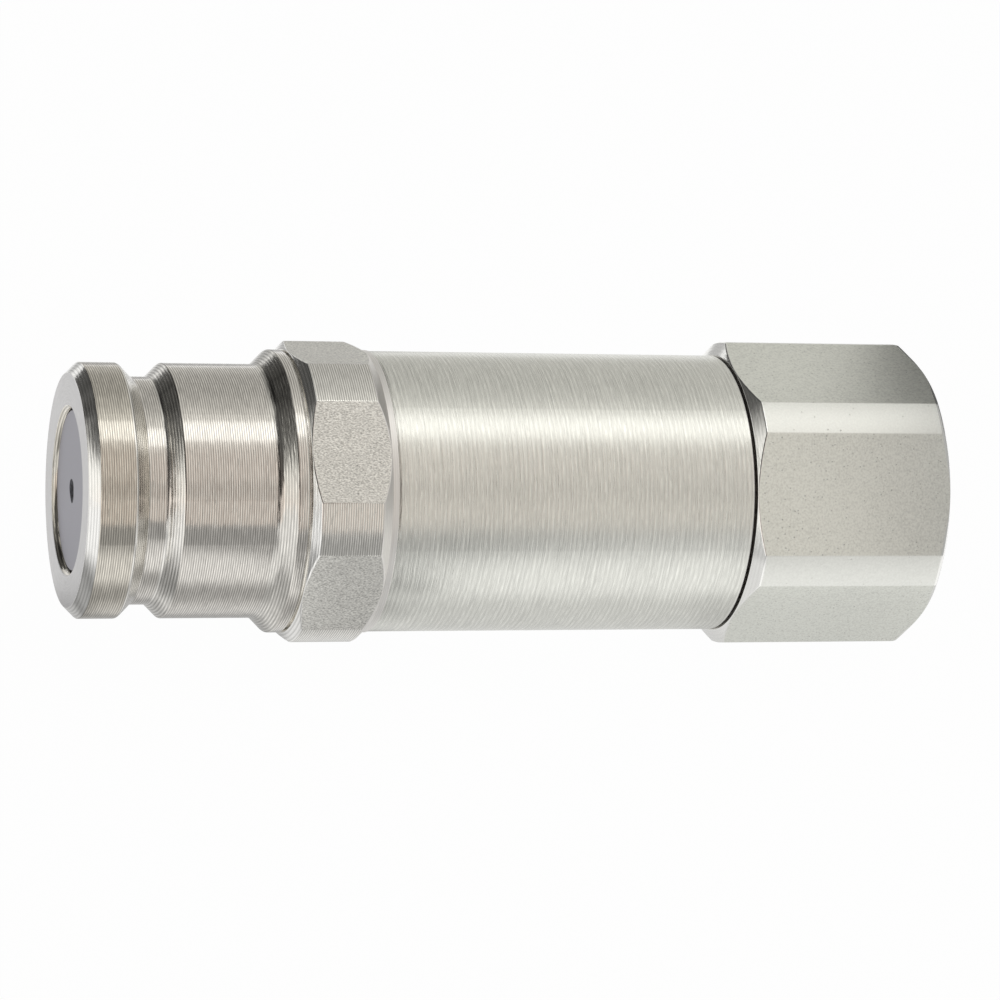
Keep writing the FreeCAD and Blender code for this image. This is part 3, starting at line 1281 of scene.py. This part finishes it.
@dataclass
class FlushValve:
    """Flat valve in the nose, with its seal groove, flange, shank and stem.

    Sizes are millimetres. Each lump of the centre mark is its number round, its share and its turn.
    """

    spans: Spans
    head_r: float = 7.5
    groove_r: float = 5.7
    seal_clearance: float = 0.03
    flange_width: float = 1.2
    shank_r: float = 4.9
    shank_end: float = 30.03
    stem_r: float = 3.0
    stem_tip: float = 0.5
    recess: float = 0.2
    mark_r: float = 1.1
    mark_depth: float = 0.2
    mark_floor: float = 0.55
    mark_reach: float = 1.2
    mark_lumps: tuple[tuple[int, float, float], ...] = ((2, 0.1, 0.7), (3, 0.06, 2.1))
    spring_gap: float = 0.05
    edge: float = 0.1

    def outline(self) -> list[Corner]:
        """Outline from the bottom of the centre mark to the tip of the stem.

        Returns:
            Corners in order.
        """
        face = self.spans.valve_low.x + self.recess
        tip = self.spans.valve_high.x
        flange_r = self.spans.valve_high.y
        groove_start = self.spans.seal_low.x - self.seal_clearance
        groove_end = self.spans.seal_high.x + self.seal_clearance
        flange_end = self.spans.spring_low.x - self.spring_gap
        flange_full = flange_end - self.flange_width
        flange_start = flange_full - (flange_r - self.head_r)
        return [
            Corner(face + self.mark_depth, 0, Zone.MARK),
            Corner(face + self.mark_depth, self.mark_r * self.mark_floor, Zone.MARK),
            Corner(face, self.mark_r, Zone.DISC, ease=0.08),
            Corner(face, self.head_r, Zone.DISC, ease=self.edge),
            Corner(groove_start, self.head_r, Zone.BORE),
            Corner(groove_start, self.groove_r, Zone.BORE),
            Corner(groove_end, self.groove_r, Zone.BORE),
            Corner(groove_end, self.head_r, Zone.BORE),
            Corner(flange_start, self.head_r, Zone.BORE),
            Corner(flange_full, flange_r, Zone.BORE),
            Corner(flange_end, flange_r, Zone.BORE),
            Corner(flange_end, self.shank_r, Zone.BORE, ease=0.3),
            Corner(self.shank_end, self.shank_r, Zone.BORE, ease=0.2),
            Corner(self.shank_end, self.stem_r, Zone.BORE, ease=0.2),
            Corner(tip - self.stem_tip, self.stem_r, Zone.BORE, ease=0.1),
            Corner(tip, self.stem_r - self.stem_tip, Zone.BORE, ease=0.1),
            Corner(tip, 0, Zone.BORE),
        ]

    def build(self, materials: dict[Zone, bpy.types.Material]) -> bpy.types.Object:
        """Build the piece in place of its frame node.

        Args:
            materials: Material of each zone.

        Returns:
            The piece, riding on the valve.
        """
        grid = Grid.turned(eased_outline(self.outline()), PLAIN_COLUMNS)
        angles = TURN * np.arange(PLAIN_COLUMNS) / PLAIN_COLUMNS
        lumps = np.ones(PLAIN_COLUMNS)
        for number, share, turn in self.mark_lumps:
            lumps += share * np.sin(number * angles + turn)
        near_mark = grid.r < self.mark_r * self.mark_reach
        grid.r = np.where(near_mark, grid.r * lumps[None, :], grid.r)
        piece = mesh_object("flush_valve", grid, angles, False, materials)
        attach(piece, VALVE)
        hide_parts("valve_poppet")
        return piece


class HelixTree:
    """Geometry Nodes tree that sweeps a section along a helix about the X axis."""

    INPUTS = {
        "Start": (FLOAT, 0.0),
        "End": (FLOAT, 0.01),
        "Start Radius": (FLOAT, 0.005),
        "End Radius": (FLOAT, 0.005),
        "Turns": (FLOAT, 5.0),
        "Closed Turns": (FLOAT, 0.0),
        "Closed Pitch": (FLOAT, 0.001),
        "Sink": (FLOAT, 0.0),
        "Sink Turns": (FLOAT, 0.6),
        "Points": ("NodeSocketInt", 400),
        "Trim Start": (FLOAT, -1.0),
        "Trim End": (FLOAT, 1.0),
        "Material": ("NodeSocketMaterial", None),
    }

    def __init__(self, name: str, section: dict[str, float], round_section: bool) -> None:
        """Build the tree.

        Args:
            name: Name of the tree.
            section: Sizes of the swept section, in metres, by input name of its curve.
            round_section: Whether the section is a circle or a trapezium.
        """
        sheet, given, made = open_group(
            name, "GeometryNodeTree", self.INPUTS, {"Geometry": "NodeSocketGeometry"}
        )
        self.tree = sheet.tree
        path = self._path(sheet, given)
        if round_section:
            curve = sheet.add("GeometryNodeCurvePrimitiveCircle", section)
        else:
            curve = sheet.add(
                "GeometryNodeCurvePrimitiveQuadrilateral", section, mode="TRAPEZOID"
            )
        swept = sheet.add(
            "GeometryNodeCurveToMesh",
            {"Curve": path, "Profile Curve": curve.outputs["Curve"], "Fill Caps": True},
        )
        trimmed = self._trimmed(sheet, given, swept.outputs["Mesh"])
        real = sheet.add("GeometryNodeRealizeInstances", {"Geometry": trimmed})
        dressed = sheet.add(
            "GeometryNodeSetMaterial",
            {"Geometry": real.outputs["Geometry"], "Material": given["Material"]},
        )
        sheet.feed(made["Geometry"], dressed.outputs["Geometry"])

    def _path(self, sheet: Sheet, given: Sequence) -> Socket:
        """Draw the helix, with closed turns or sunk ends.

        Args:
            sheet: Tree's sheet.
            given: Sockets that the tree is given.

        Returns:
            The curve's socket.
        """
        line = sheet.add("GeometryNodeCurvePrimitiveLine").outputs["Curve"]
        fine = sheet.add("GeometryNodeResampleCurve", {"Curve": line, "Count": given["Points"]})
        share = sheet.add("GeometryNodeSplineParameter").outputs["Factor"]
        closed, turns = given["Closed Turns"], given["Turns"]
        wound = sheet.math("MULTIPLY", share, turns)
        active = sheet.math("MULTIPLY_ADD", closed, -2.0, turns)
        open_turn = sheet.math("SUBTRACT", wound, closed)
        open_turn = sheet.math("MINIMUM", sheet.math("MAXIMUM", open_turn, 0.0), active)
        flat_turn = sheet.math("SUBTRACT", wound, open_turn)
        flat_length = sheet.math("MULTIPLY", closed, given["Closed Pitch"])
        length = sheet.math("SUBTRACT", given["End"], given["Start"])
        open_length = sheet.math("MULTIPLY_ADD", flat_length, -2.0, length)
        open_pitch = sheet.math("DIVIDE", open_length, active)
        x = sheet.math("MULTIPLY_ADD", open_turn, open_pitch, given["Start"])
        x = sheet.math("MULTIPLY_ADD", flat_turn, given["Closed Pitch"], x)
        spread = sheet.math("SUBTRACT", given["End Radius"], given["Start Radius"])
        radius = sheet.math("MULTIPLY_ADD", share, spread, given["Start Radius"])
        to_end = sheet.math("MINIMUM", wound, sheet.math("SUBTRACT", turns, wound))
        sunk = sheet.step(to_end, given["Sink Turns"], 0.0)
        radius = sheet.math("MULTIPLY_ADD", sunk, given["Sink"], radius)
        angle = sheet.math("MULTIPLY", wound, TURN)
        y, z = sheet.math("COSINE", angle), sheet.math("SINE", angle)
        outwards = sheet.join(0.0, y, z)
        around = [sheet.math("MULTIPLY", way, radius) for way in (y, z)]
        wave = sheet.add(
            "GeometryNodeSetPosition",
            {"Geometry": fine.outputs["Curve"], "Position": sheet.join(x, *around)},
        )
        level = sheet.add(
            "GeometryNodeSetCurveNormal",
            {"Curve": wave.outputs["Geometry"], "Normal": outwards},
            mode="FREE",
        )
        return level.outputs["Curve"]

    def _trimmed(self, sheet: Sheet, given: Sequence, mesh: Socket) -> Socket:
        """Flatten what reaches past the two seats.

        Args:
            sheet: Tree's sheet.
            given: Sockets that the tree is given.
            mesh: Socket of the swept mesh.

        Returns:
            The trimmed mesh's socket.
        """
        here = sheet.add("GeometryNodeInputPosition").outputs["Position"]
        parts = sheet.split(here)
        x = sheet.math("MAXIMUM", parts["X"], given["Trim Start"])
        x = sheet.math("MINIMUM", x, given["Trim End"])
        place = sheet.join(x, parts["Y"], parts["Z"])
        moved = sheet.add("GeometryNodeSetPosition", {"Geometry": mesh, "Position": place})
        return moved.outputs["Geometry"]

    def piece(self, name: str, inputs: dict[str, object]) -> bpy.types.Object:
        """Make a plain mesh object with the tree.

        Args:
            name: Name of the piece.
            inputs: Values by input name, lengths in metres.

        Returns:
            The object, with no modifier left on it.
        """
        made = placed(name, bpy.data.meshes.new(name))
        modifier = made.modifiers.new("Helix", "NODES")
        modifier.node_group = self.tree
        for socket in self.tree.interface.items_tree:
            if socket.in_out == "INPUT" and socket.name in inputs:
                modifier[socket.identifier] = inputs[socket.name]
        settled(made)
        weld(made.data)
        smooth(made.data)
        return made


@dataclass
class ValveSpring:
    """Wound spring between the valve's flange and the guide. Sizes are millimetres."""

    spans: Spans
    wire: float = 1.3
    active_turns: float = 4.5
    closed_turns: float = 0.75
    closed_gap: float = 0.1
    ground_share: float = 0.5
    wire_sides: int = 16
    points: int = 360
    joint: str = "valve_slide"

    def build(self, material: bpy.types.Material) -> bpy.types.Object:
        """Build the spring in place of its frame node.

        Args:
            material: Material of the wire.

        Returns:
            The piece, riding on the housing.
        """
        start, end = self.spans.spring_low.x, self.spans.spring_high.x
        radius = self.spans.spring_high.y - self.wire / 2
        inset = self.wire / 2 * self.ground_share
        section = {"Radius": self.wire / 2 * MM, "Resolution": self.wire_sides}
        tree = HelixTree("Wound spring", section, round_section=True)
        piece = tree.piece(
            "wound_spring",
            {
                "Start": (start + inset) * MM,
                "End": (end - inset) * MM,
                "Start Radius": radius * MM,
                "End Radius": radius * MM,
                "Turns": self.active_turns + 2 * self.closed_turns,
                "Closed Turns": self.closed_turns,
                "Closed Pitch": (self.wire + self.closed_gap) * MM,
                "Points": self.points,
                "Trim Start": start * MM,
                "Trim End": end * MM,
                "Material": material,
            },
        )
        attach(piece, HOUSING)
        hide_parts("valve_spring")
        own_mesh(piece)
        return piece


@dataclass
class PortThread:
    """Taper pipe thread in the port, as a ridge wound on the root of the bore. Sizes are millimetres."""

    adapter: PortAdapter
    pitch: float = 1.814
    crest: float = 0.22
    root: float = 1.62
    bite: float = 0.06
    lead_in: float = 0.9
    crest_share: float = 0.25
    points: int = 640

    def build(self, material: bpy.types.Material) -> bpy.types.Object:
        """Build the ridge.

        Args:
            material: Material of the port.

        Returns:
            The piece, riding on the housing.
        """
        spans = self.adapter.spans
        start = spans.port_floor + self.adapter.runout
        end = spans.port_mouth - self.lead_in
        crest_r = spans.port_r + self.adapter.port_root * self.crest_share
        height = self.adapter.root_r(end) - crest_r + self.bite
        section = {
            "Height": height * MM,
            "Bottom Width": self.root * MM,
            "Top Width": self.crest * MM,
            "Offset": 0.0,
        }
        tree = HelixTree("Pipe thread", section, round_section=False)
        middle = height / 2 - self.bite
        piece = tree.piece(
            "port_thread",
            {
                "Start": start * MM,
                "End": end * MM,
                "Start Radius": (self.adapter.root_r(start) - middle) * MM,
                "End Radius": (self.adapter.root_r(end) - middle) * MM,
                "Turns": (end - start) / self.pitch,
                "Sink": height * MM,
                "Points": self.points,
                "Material": material,
            },
        )
        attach(piece, HOUSING)
        return piece


# Shallow lines of a bored surface
BORED = {
    "feed_depth": 1.0, "streak_depth": 0.4, "feed_tone": 0.12, "stroke_tone": 0.03, "stroke_depth": 0.0,
}


class InnerPieces:
    """Frame nodes that keep their own mesh and only take a finish."""

    FINISHES = {
        "valve_guide": TurnedSteel(
            "guide_steel", (0.55, 0.54, 0.52), 0.35, lay=Lay.OUTWARDS, **BORED,
        ),
        "valve_seal": MouldedFinish("valve_seal_rubber", (0.02, 0.02, 0.022), 0.55),
        "adapter_seal": MouldedFinish("adapter_seal_rubber", (0.02, 0.02, 0.022), 0.55),
        "adapter_backup_ring": MouldedFinish("backup_plastic_white", (0.82, 0.81, 0.77), 0.45),
    }

    def dress(self, effects: SurfaceEffects) -> None:
        """Give each node its material.

        Args:
            effects: Shared node groups.
        """
        for node, finish in self.FINISHES.items():
            mesh = frame["nodes"][node].data
            mesh.materials.clear()
            mesh.materials.append(finish.material(effects))


@dataclass(frozen=True)
class Patch:
    """A soft-edged stretch of the surroundings that is dimmer or brighter than the rest.

    Attributes:
        dimming: Share of the light that it takes away, or adds where it is negative.
        edges: Coordinate, value outside and value inside of each edge.
    """

    dimming: float
    edges: tuple[tuple[str, float, float], ...]

    def lay(self, sheet: Sheet, level: Socket | float, places: dict[str, Socket]) -> Socket:
        """Dim or light a level where the patch lies.

        Args:
            sheet: Sheet to draw in.
            level: Level so far.
            places: Sockets of the coordinates by name.

        Returns:
            The new level's socket.
        """
        inside: Socket | float = 1.0
        for axis, outside, within in self.edges:
            inside = sheet.math("MULTIPLY", inside, sheet.step(places[axis], outside, within))
        return sheet.math("MULTIPLY", sheet.blend(1.0, 1.0 - self.dimming, inside), level)


# Room, by direction
DARK_UPPER_LEFT = Patch(0.84, (("X", -0.25, -0.55), ("Z", 0.26, 0.42)))
DARK_BACK_LEFT = Patch(0.86, (("X", 0.0, -0.25), ("Y", 0.25, 0.55)))
LIT_LOWER_LEFT = Patch(-0.34, (("X", -0.25, -0.55), ("Y", 0.55, 0.25), ("Z", 0.42, 0.26)))
LIT_OVERLAP = Patch(-3.8, (("X", -0.48, -0.66), ("Y", 0.3, 0.5), ("Z", 0.24, 0.38)))
DARK_GAP = Patch(0.9, (("X", -0.04, -0.16), ("X", -0.58, -0.46), ("Y", 0.35, 0.1)))
DIM_RIGHT = Patch(0.5, (("X", 0.45, 0.7),))
DIM_BACK = Patch(0.2, (("Y", 0.12, 0.38),))
DUSK_BACK = Patch(0.46, (("X", 0.32, 0.05), ("Y", 0.25, 0.55), ("Z", 0.15, 0.4), ("Z", 0.9, 0.75)))
CAMERA_STAND = Patch(0.23, (("X", 0.34, 0.25), ("Y", -0.1, -0.4), ("Z", 0.34, 0.45), ("Z", 0.68, 0.57)))
LIT_CROWN = Patch(-0.25, (("X", 0.3, 0.2), ("Z", 0.9, 0.955)))
ROOM = (
    DARK_UPPER_LEFT, DARK_BACK_LEFT, LIT_LOWER_LEFT, LIT_OVERLAP, DARK_GAP, DIM_RIGHT, DIM_BACK,
    DUSK_BACK, CAMERA_STAND, LIT_CROWN,
)

# Floor in reflections, in millimetres: painted shade and painted shadow that only glossy rays see; S is
# the place on the nipple that a point is mirrored in
# painted shade: the floor ahead of the nipple is darker, in reflections only
PAINTED_SHADE_AHEAD = Patch(0.33, (("X", -35, -5), ("Y", -28, -68)))
PAINTED_SHADE_AHEAD_NOSE = Patch(0.4, (("X", -35, -5), ("Y", -28, -68), ("S", 42, 36)))
# painted shadow under and beside the nipple, in reflections only
UNDER_NOSE = Patch(0.22, (("X", -30, -12), ("X", 36, 30), ("Y", -21, -14.5), ("Y", 3, -5)))
EDGE_NOSE = Patch(0.36, (("X", -30, -12), ("X", 36, 30), ("Y", -21, -14.5), ("Y", -8, -13.5)))
CORE_NOSE = Patch(0.4, (("X", -30, -12), ("X", 36, 30), ("Y", -7, -4), ("Y", 8, 2)))
UNDER_SLEEVE = Patch(0.28, (("X", 30, 36), ("X", 64, 60), ("Y", -21, -14.5), ("Y", -2, -7)))
UNDER_PORT = Patch(0.36, (("X", 60, 64), ("Y", -21, -14.5), ("Y", 3, -5)))
# painted shade on the floor ahead of the front hexagon, which its lower flat mirrors
PAINTED_SHADE_FRONT = Patch(0.56, (("X", 23, 26.5), ("X", 39, 34), ("Y", -60, -40), ("Y", -16.5, -21.5)))
# painted shadow under the rim of the nose, in reflections only
UNDER_RIM = Patch(0.52, (("X", 5, 1), ("Y", -15, -11.5), ("Y", -3, -5.5)))
# painted shade on the floor far behind the nipple, in reflections only
FAR_FLOOR = Patch(0.52, (("X", -45, -10), ("X", 66, 56), ("Y", 60, 95)))
FLOOR = (
    PAINTED_SHADE_AHEAD, PAINTED_SHADE_AHEAD_NOSE, UNDER_NOSE, EDGE_NOSE, CORE_NOSE, UNDER_SLEEVE, UNDER_PORT, PAINTED_SHADE_FRONT,
    UNDER_RIM, FAR_FLOOR,
)

# Panel, in millimetres
PANEL_SHADE = Patch(0.76, (("Y", -4, 6), ("Z", 42, 34)))


@dataclass
class Studio:
    """Floor, panel, lamps and camera.

    Places on the stage are millimetres, the floor's and the softbox's own sizes are metres, and the
    edges of the warmer front of the room are directions.
    """

    spans: Spans
    axis_point: float = 42.25
    distance: float = 385.4
    recession: float = 16.7
    lift: float = 30.9
    roll: float = 0.14
    rise: float = 0.807
    lens: float = 144.0
    sensor: float = 36.0
    clip_start: float = 0.01
    floor_size: float = 8.0
    floor_contact: float = 27.0
    floor_grey: Color = (0.9, 0.9, 0.9)
    floor_seen: float = 0.98
    floor_mirrored: float = 0.95
    floor_slant: float = 0.345
    panel_x: float = 94.0
    panel_span: tuple[float, float] = (-50.0, 36.0)
    panel_height: tuple[float, float] = (2.0, 44.0)
    panel_level: float = 0.42
    room_level: float = 0.76
    room_tint: Color = (1.0, 0.99, 0.955)
    front_tint: Color = (1.0, 0.91, 0.85)
    front_x: tuple[float, float] = (0.36, 0.22)
    front_y: tuple[float, float] = (-0.1, -0.5)
    softbox_level: float = 0.62
    softbox_turn: float = 85.0
    softbox_distance: float = 0.35
    softbox_size: tuple[float, float] = (0.6, 0.12)

    def target(self) -> Vector:
        """Point on the axis at which everything is aimed, in metres."""
        return Vector((self.axis_point * MM, 0, 0))

    @staticmethod
    def aimed(back: Vector, roll: float = 0.0) -> Matrix:
        """Turn that points an object's -Z against a direction, with its X along the nipple.

        Args:
            back: Unit vector from the target to the object.
            roll: Turn about that vector, in degrees.

        Returns:
            The rotation as a 4x4 matrix.
        """
        right = (Vector((1, 0, 0)) - back * back.x).normalized()
        up = back.cross(right)
        turn = math.radians(roll)
        rolled = right * math.cos(turn) + up * math.sin(turn)
        columns = (rolled, back.cross(rolled), back)
        return Matrix([[c[k] for c in columns] for k in range(3)]).to_4x4()

    def camera(self) -> None:
        """Put the camera where the photograph was taken from."""
        turn, lift = math.radians(self.recession), math.radians(self.lift)
        back = Vector(
            (-math.sin(turn), -math.cos(turn) * math.cos(lift), math.cos(turn) * math.sin(lift))
        )
        data = bpy.data.cameras.new("camera")
        data.sensor_width = self.sensor
        data.lens = self.lens
        data.clip_start = self.clip_start
        camera = placed("camera", data)
        pose = self.aimed(back)
        up = pose.col[1].to_3d()
        place = self.target() + (back * self.distance - up * self.rise) * MM
        camera.matrix_world = Matrix.Translation(place) @ self.aimed(back, self.roll)
        bpy.context.scene.camera = camera

    def softbox(self) -> None:
        """Hang a long soft lamp over the nipple."""
        lift = math.radians(self.softbox_turn)
        lean = math.sin(math.radians(self.recession))
        back = Vector((lean, -math.cos(lift), math.sin(lift))).normalized()
        data = bpy.data.lights.new("softbox", "AREA")
        data.shape = "RECTANGLE"
        data.size, data.size_y = self.softbox_size
        data.energy = self.softbox_level * math.pi * data.size * data.size_y
        lamp = placed("softbox", data)
        place = self.target() + back * self.softbox_distance
        lamp.matrix_world = Matrix.Translation(place) @ self.aimed(back)
        lamp.visible_camera = False

    def room(self) -> None:
        """Fill the rest of the room with soft light, which the patches shape."""
        world = bpy.data.worlds.new("room")
        bpy.context.scene.world = world
        sheet = Sheet(emptied(world))
        parts = sheet.split(sheet.add("ShaderNodeTexCoord").outputs["Generated"])
        level = self.room_level
        for patch in ROOM:
            level = patch.lay(sheet, level, parts)
        edges = sheet.step(parts["Y"], *self.front_y), sheet.step(parts["X"], *self.front_x)
        colors = {MIX_FROM: (*self.room_tint, 1.0), MIX_TO: (*self.front_tint, 1.0)}
        front = sheet.math("MULTIPLY", *edges)
        tint = sheet.add("ShaderNodeMix", {0: front, **colors}, data_type="RGBA")
        color = tint.outputs[MIX_RESULT]
        glow = sheet.add("ShaderNodeBackground", {"Color": color, "Strength": level})
        sheet.add("ShaderNodeOutputWorld", {"Surface": glow.outputs["Background"]})

    @staticmethod
    def quad(name: str, corners: list, material: bpy.types.Material) -> bpy.types.Object:
        """Put a sheet with four corners in the scene.

        Args:
            name: Name of the object.
            corners: Corners in order, in metres.
            material: Material of the sheet.

        Returns:
            The object.
        """
        mesh = bpy.data.meshes.new(name)
        mesh.from_pydata(corners, [], [(0, 1, 2, 3)])
        mesh.materials.append(material)
        return placed(name, mesh)

    def floor(self) -> None:
        """Lay a pale floor under the two hexagons, which it touches."""
        low = self.spans.body_low.z
        slope = (-self.spans.half_flats - low) / (self.spans.adapter_high.x - self.floor_contact)
        half = self.floor_size / 2
        corners = []
        for x, y in ((-half, -half), (half, -half), (half, half), (-half, half)):
            corners.append((x, y, low * MM + slope * (x - self.floor_contact * MM)))
        floor = self.quad("floor", corners, self.floor_material())

    @staticmethod
    def places(sheet: Sheet) -> dict[str, Socket]:
        """Read the object coordinates.

        Args:
            sheet: Material's sheet.

        Returns:
            Sockets of the coordinates in millimetres, by name.
        """
        position = sheet.add("ShaderNodeTexCoord").outputs["Object"]
        scaled = sheet.add(
            "ShaderNodeVectorMath", {0: position, "Scale": 1 / MM}, operation="SCALE"
        )
        parts = sheet.split(scaled.outputs[0])
        return {axis: parts[axis] for axis in "XYZ"}

    def panel(self) -> None:
        """Stand a dim panel to the right, which only shows in reflections."""
        front, back = self.panel_span
        low, high = self.panel_height
        ring = ((front, low), (back, low), (back, high), (front, high))
        corners = [(self.panel_x * MM, y * MM, z * MM) for y, z in ring]
        panel = self.quad("panel", corners, self.panel_material())
        panel.visible_camera = False
        panel.visible_diffuse = False
        panel.visible_shadow = False
        panel.visible_transmission = False

    def panel_material(self) -> bpy.types.Material:
        """Build the panel's dim glow.

        Returns:
            The material.
        """
        material = bpy.data.materials.new("dim_panel")
        sheet = Sheet(emptied(material))
        level = PANEL_SHADE.lay(sheet, self.panel_level, self.places(sheet))
        dim = sheet.add("ShaderNodeEmission", {"Color": WHITE, "Strength": level})
        sheet.add("ShaderNodeOutputMaterial", {"Surface": dim.outputs["Emission"]})
        return material

    def floor_material(self) -> bpy.types.Material:
        """Build a pale matt floor that looks nearly white to the eye; in reflections it shows the
        painted shade and painted shadow of its patches.

        Returns:
            The material.
        """
        material = bpy.data.materials.new("pale_floor")
        sheet = Sheet(emptied(material))
        path = sheet.add("ShaderNodeLightPath").outputs
        places = self.places(sheet)
        ahead = sheet.math("ADD", places["Y"], self.spans.half_flats)
        places["S"] = sheet.math("MULTIPLY_ADD", ahead, self.floor_slant, places["X"])
        level = 1.0
        # painted shade and shadow: the patches dim the floor's glow for glossy rays only
        for patch in FLOOR:
            level = patch.lay(sheet, level, places)
        mirror = path["Is Glossy Ray"]
        strength = sheet.math("MULTIPLY_ADD", sheet.math("SUBTRACT", level, 1.0), mirror, 1.0)
        seen = sheet.math("MAXIMUM", path["Is Camera Ray"], path["Is Transmission Ray"])
        share = sheet.math("MULTIPLY", mirror, self.floor_mirrored)
        share = sheet.math("MULTIPLY_ADD", seen, self.floor_seen, share)
        matt = sheet.add("ShaderNodeBsdfDiffuse", {"Color": (*self.floor_grey, 1.0)})
        white = sheet.add("ShaderNodeEmission", {"Color": WHITE, "Strength": strength})
        mixed = sheet.add(
            "ShaderNodeMixShader",
            {0: share, 1: matt.outputs["BSDF"], 2: white.outputs["Emission"]},
        )
        sheet.add("ShaderNodeOutputMaterial", {"Surface": mixed.outputs["Shader"]})
        return material

    def build(self) -> None:
        """Set up the whole stage."""
        bpy.context.scene.view_settings.view_transform = "Standard"
        self.room()
        self.floor()
        self.panel()
        self.softbox()
        self.camera()


# Finishes of the pieces, by zone
BODY_FINISHES = {
    Zone.FACE: TurnedSteel(
        "faced_steel", (0.635, 0.628, 0.625), 0.42, lay=Lay.OUTWARDS, feed_depth=0.6,
        streak_depth=0.8, feed_tone=0.01, streak_tone=0.03,
    ),
    Zone.PROBE: TurnedSteel("turned_steel", (0.66, 0.635, 0.59), 0.15, stroke_depth=7.0),
    Zone.COLLAR: TurnedSteel("turned_collar", (0.6, 0.568, 0.503), 0.15, stroke_depth=7.0),
    Zone.GROOVE: TurnedSteel("turned_groove", (0.8, 0.78, 0.735), 0.2),
    Zone.EDGE: TurnedSteel(
        "bright_chamfer", (0.9, 0.89, 0.86), 0.15, feed_depth=0.4, feed_tone=0.22,
    ),
    Zone.FLARE: TurnedSteel(
        "turned_flare", (0.69, 0.67, 0.625), 0.18, feed_depth=0.4, feed_tone=0.3,
        streak_depth=3.0, stroke_depth=9.0,
    ),
    Zone.SHOULDER: TurnedSteel(
        "soft_shoulder", (0.88, 0.86, 0.825), 0.42, feed_depth=0.6, streak_depth=0.6,
        feed_tone=0.04, stroke_tone=0.03, stroke_depth=0.0,
    ),
    Zone.SLEEVE: TurnedSteel(
        "sleeve_steel", (0.795, 0.795, 0.74), 0.28, pitch=0.46, feed_depth=1.5,
        streak_depth=6.0, feed_tone=0.07, streak_tone=0.26, stroke_tone=0.2,
        stroke_depth=8.0, wander=1.5,
    ),
    Zone.FLAT: GrainedSteel(
        "grained_flats", (0.77, 0.76, 0.715), 0.42, cell=0.105, stretch=2.0, grain_depth=36.0,
        grain_tone=1.9, glint=0.7, pit_tone=0.3,
    ),
    Zone.BAND: TurnedSteel(
        "turned_corners", (0.76, 0.745, 0.7), 0.17, feed_tone=0.32, stroke_depth=9.0,
    ),
    Zone.BORE: TurnedSteel("bored_steel", (0.6, 0.58, 0.54), 0.4, **BORED),
}

ADAPTER_FINISHES = {
    Zone.FACE: TurnedSteel(
        "end_face_steel", (0.78, 0.77, 0.72), 0.36, lay=Lay.OUTWARDS, feed_depth=1.5,
        streak_depth=2.0, feed_tone=0.03, streak_tone=0.05,
    ),
    Zone.FLAT: GrainedSteel(
        "satin_flats", (0.925, 0.935, 0.865), 0.38, cell=0.2, grain_depth=2.0, grain_tone=0.6,
        glint=0.0, pit_spacing=0.42, pit_size=0.22, pit_share=0.6, pit_tone=0.27,
    ),
    Zone.BAND: GrainedSteel(
        "satin_corners", (0.87, 0.875, 0.825), 0.4, cell=0.2, grain_depth=1.5, grain_tone=0.25,
        glint=0.0, pit_spacing=0.6, pit_size=0.15, pit_share=0.25, pit_tone=0.2,
    ),
    Zone.EDGE: TurnedSteel(
        "satin_chamfer", (0.98, 0.975, 0.94), 0.14, feed_depth=0.6, streak_depth=1.0,
        feed_tone=0.03, streak_tone=0.03, stroke_tone=0.02,
    ),
    Zone.BORE: TurnedSteel("port_steel", (0.5, 0.48, 0.44), 0.35, **BORED),
}

VALVE_FINISHES = {
    Zone.DISC: GrainedSteel(
        "ground_disc", (0.375, 0.37, 0.405), 0.5, cell=0.12, grain_depth=1.0, glint=0.0,
        pit_share=0.0,
    ),
    Zone.MARK: GrainedSteel(
        "centre_mark", (0.06, 0.06, 0.068), 0.6, cell=0.5, grain_depth=40.0, grain_tone=5.0,
        glint=3.0, pit_share=0.0,
    ),
    Zone.BORE: TurnedSteel("stem_steel", (0.5, 0.49, 0.47), 0.3, **BORED),
}

WIRE = TurnedSteel("drawn_wire", (0.5, 0.5, 0.5), 0.3, feed_depth=0.3, feed_tone=0.0)


def zone_materials(
    finishes: dict[Zone, Finish], effects: SurfaceEffects
) -> dict[Zone, bpy.types.Material]:
    """Materials of a piece's finishes, by zone."""
    return {zone: finish.material(effects) for zone, finish in finishes.items()}


def main() -> None:
    """Build the nipple and its stage."""
    logging.basicConfig(level=logging.INFO, format="%(name)s: %(message)s")
    spans = Spans()
    effects = SurfaceEffects()
    adapter = PortAdapter(spans)
    port = zone_materials(ADAPTER_FINISHES, effects)
    pieces = [
        NippleBody(spans).build(zone_materials(BODY_FINISHES, effects)),
        adapter.build(port),
        PortThread(adapter).build(port[Zone.BORE]),
        FlushValve(spans).build(zone_materials(VALVE_FINISHES, effects)),
        ValveSpring(spans).build(WIRE.material(effects)),
    ]
    for piece in pieces:
        log.info("%s: %d faces", piece.name, len(piece.data.polygons))
    InnerPieces().dress(effects)
    Studio(spans).build()


if __name__ == "__main__":
    main()
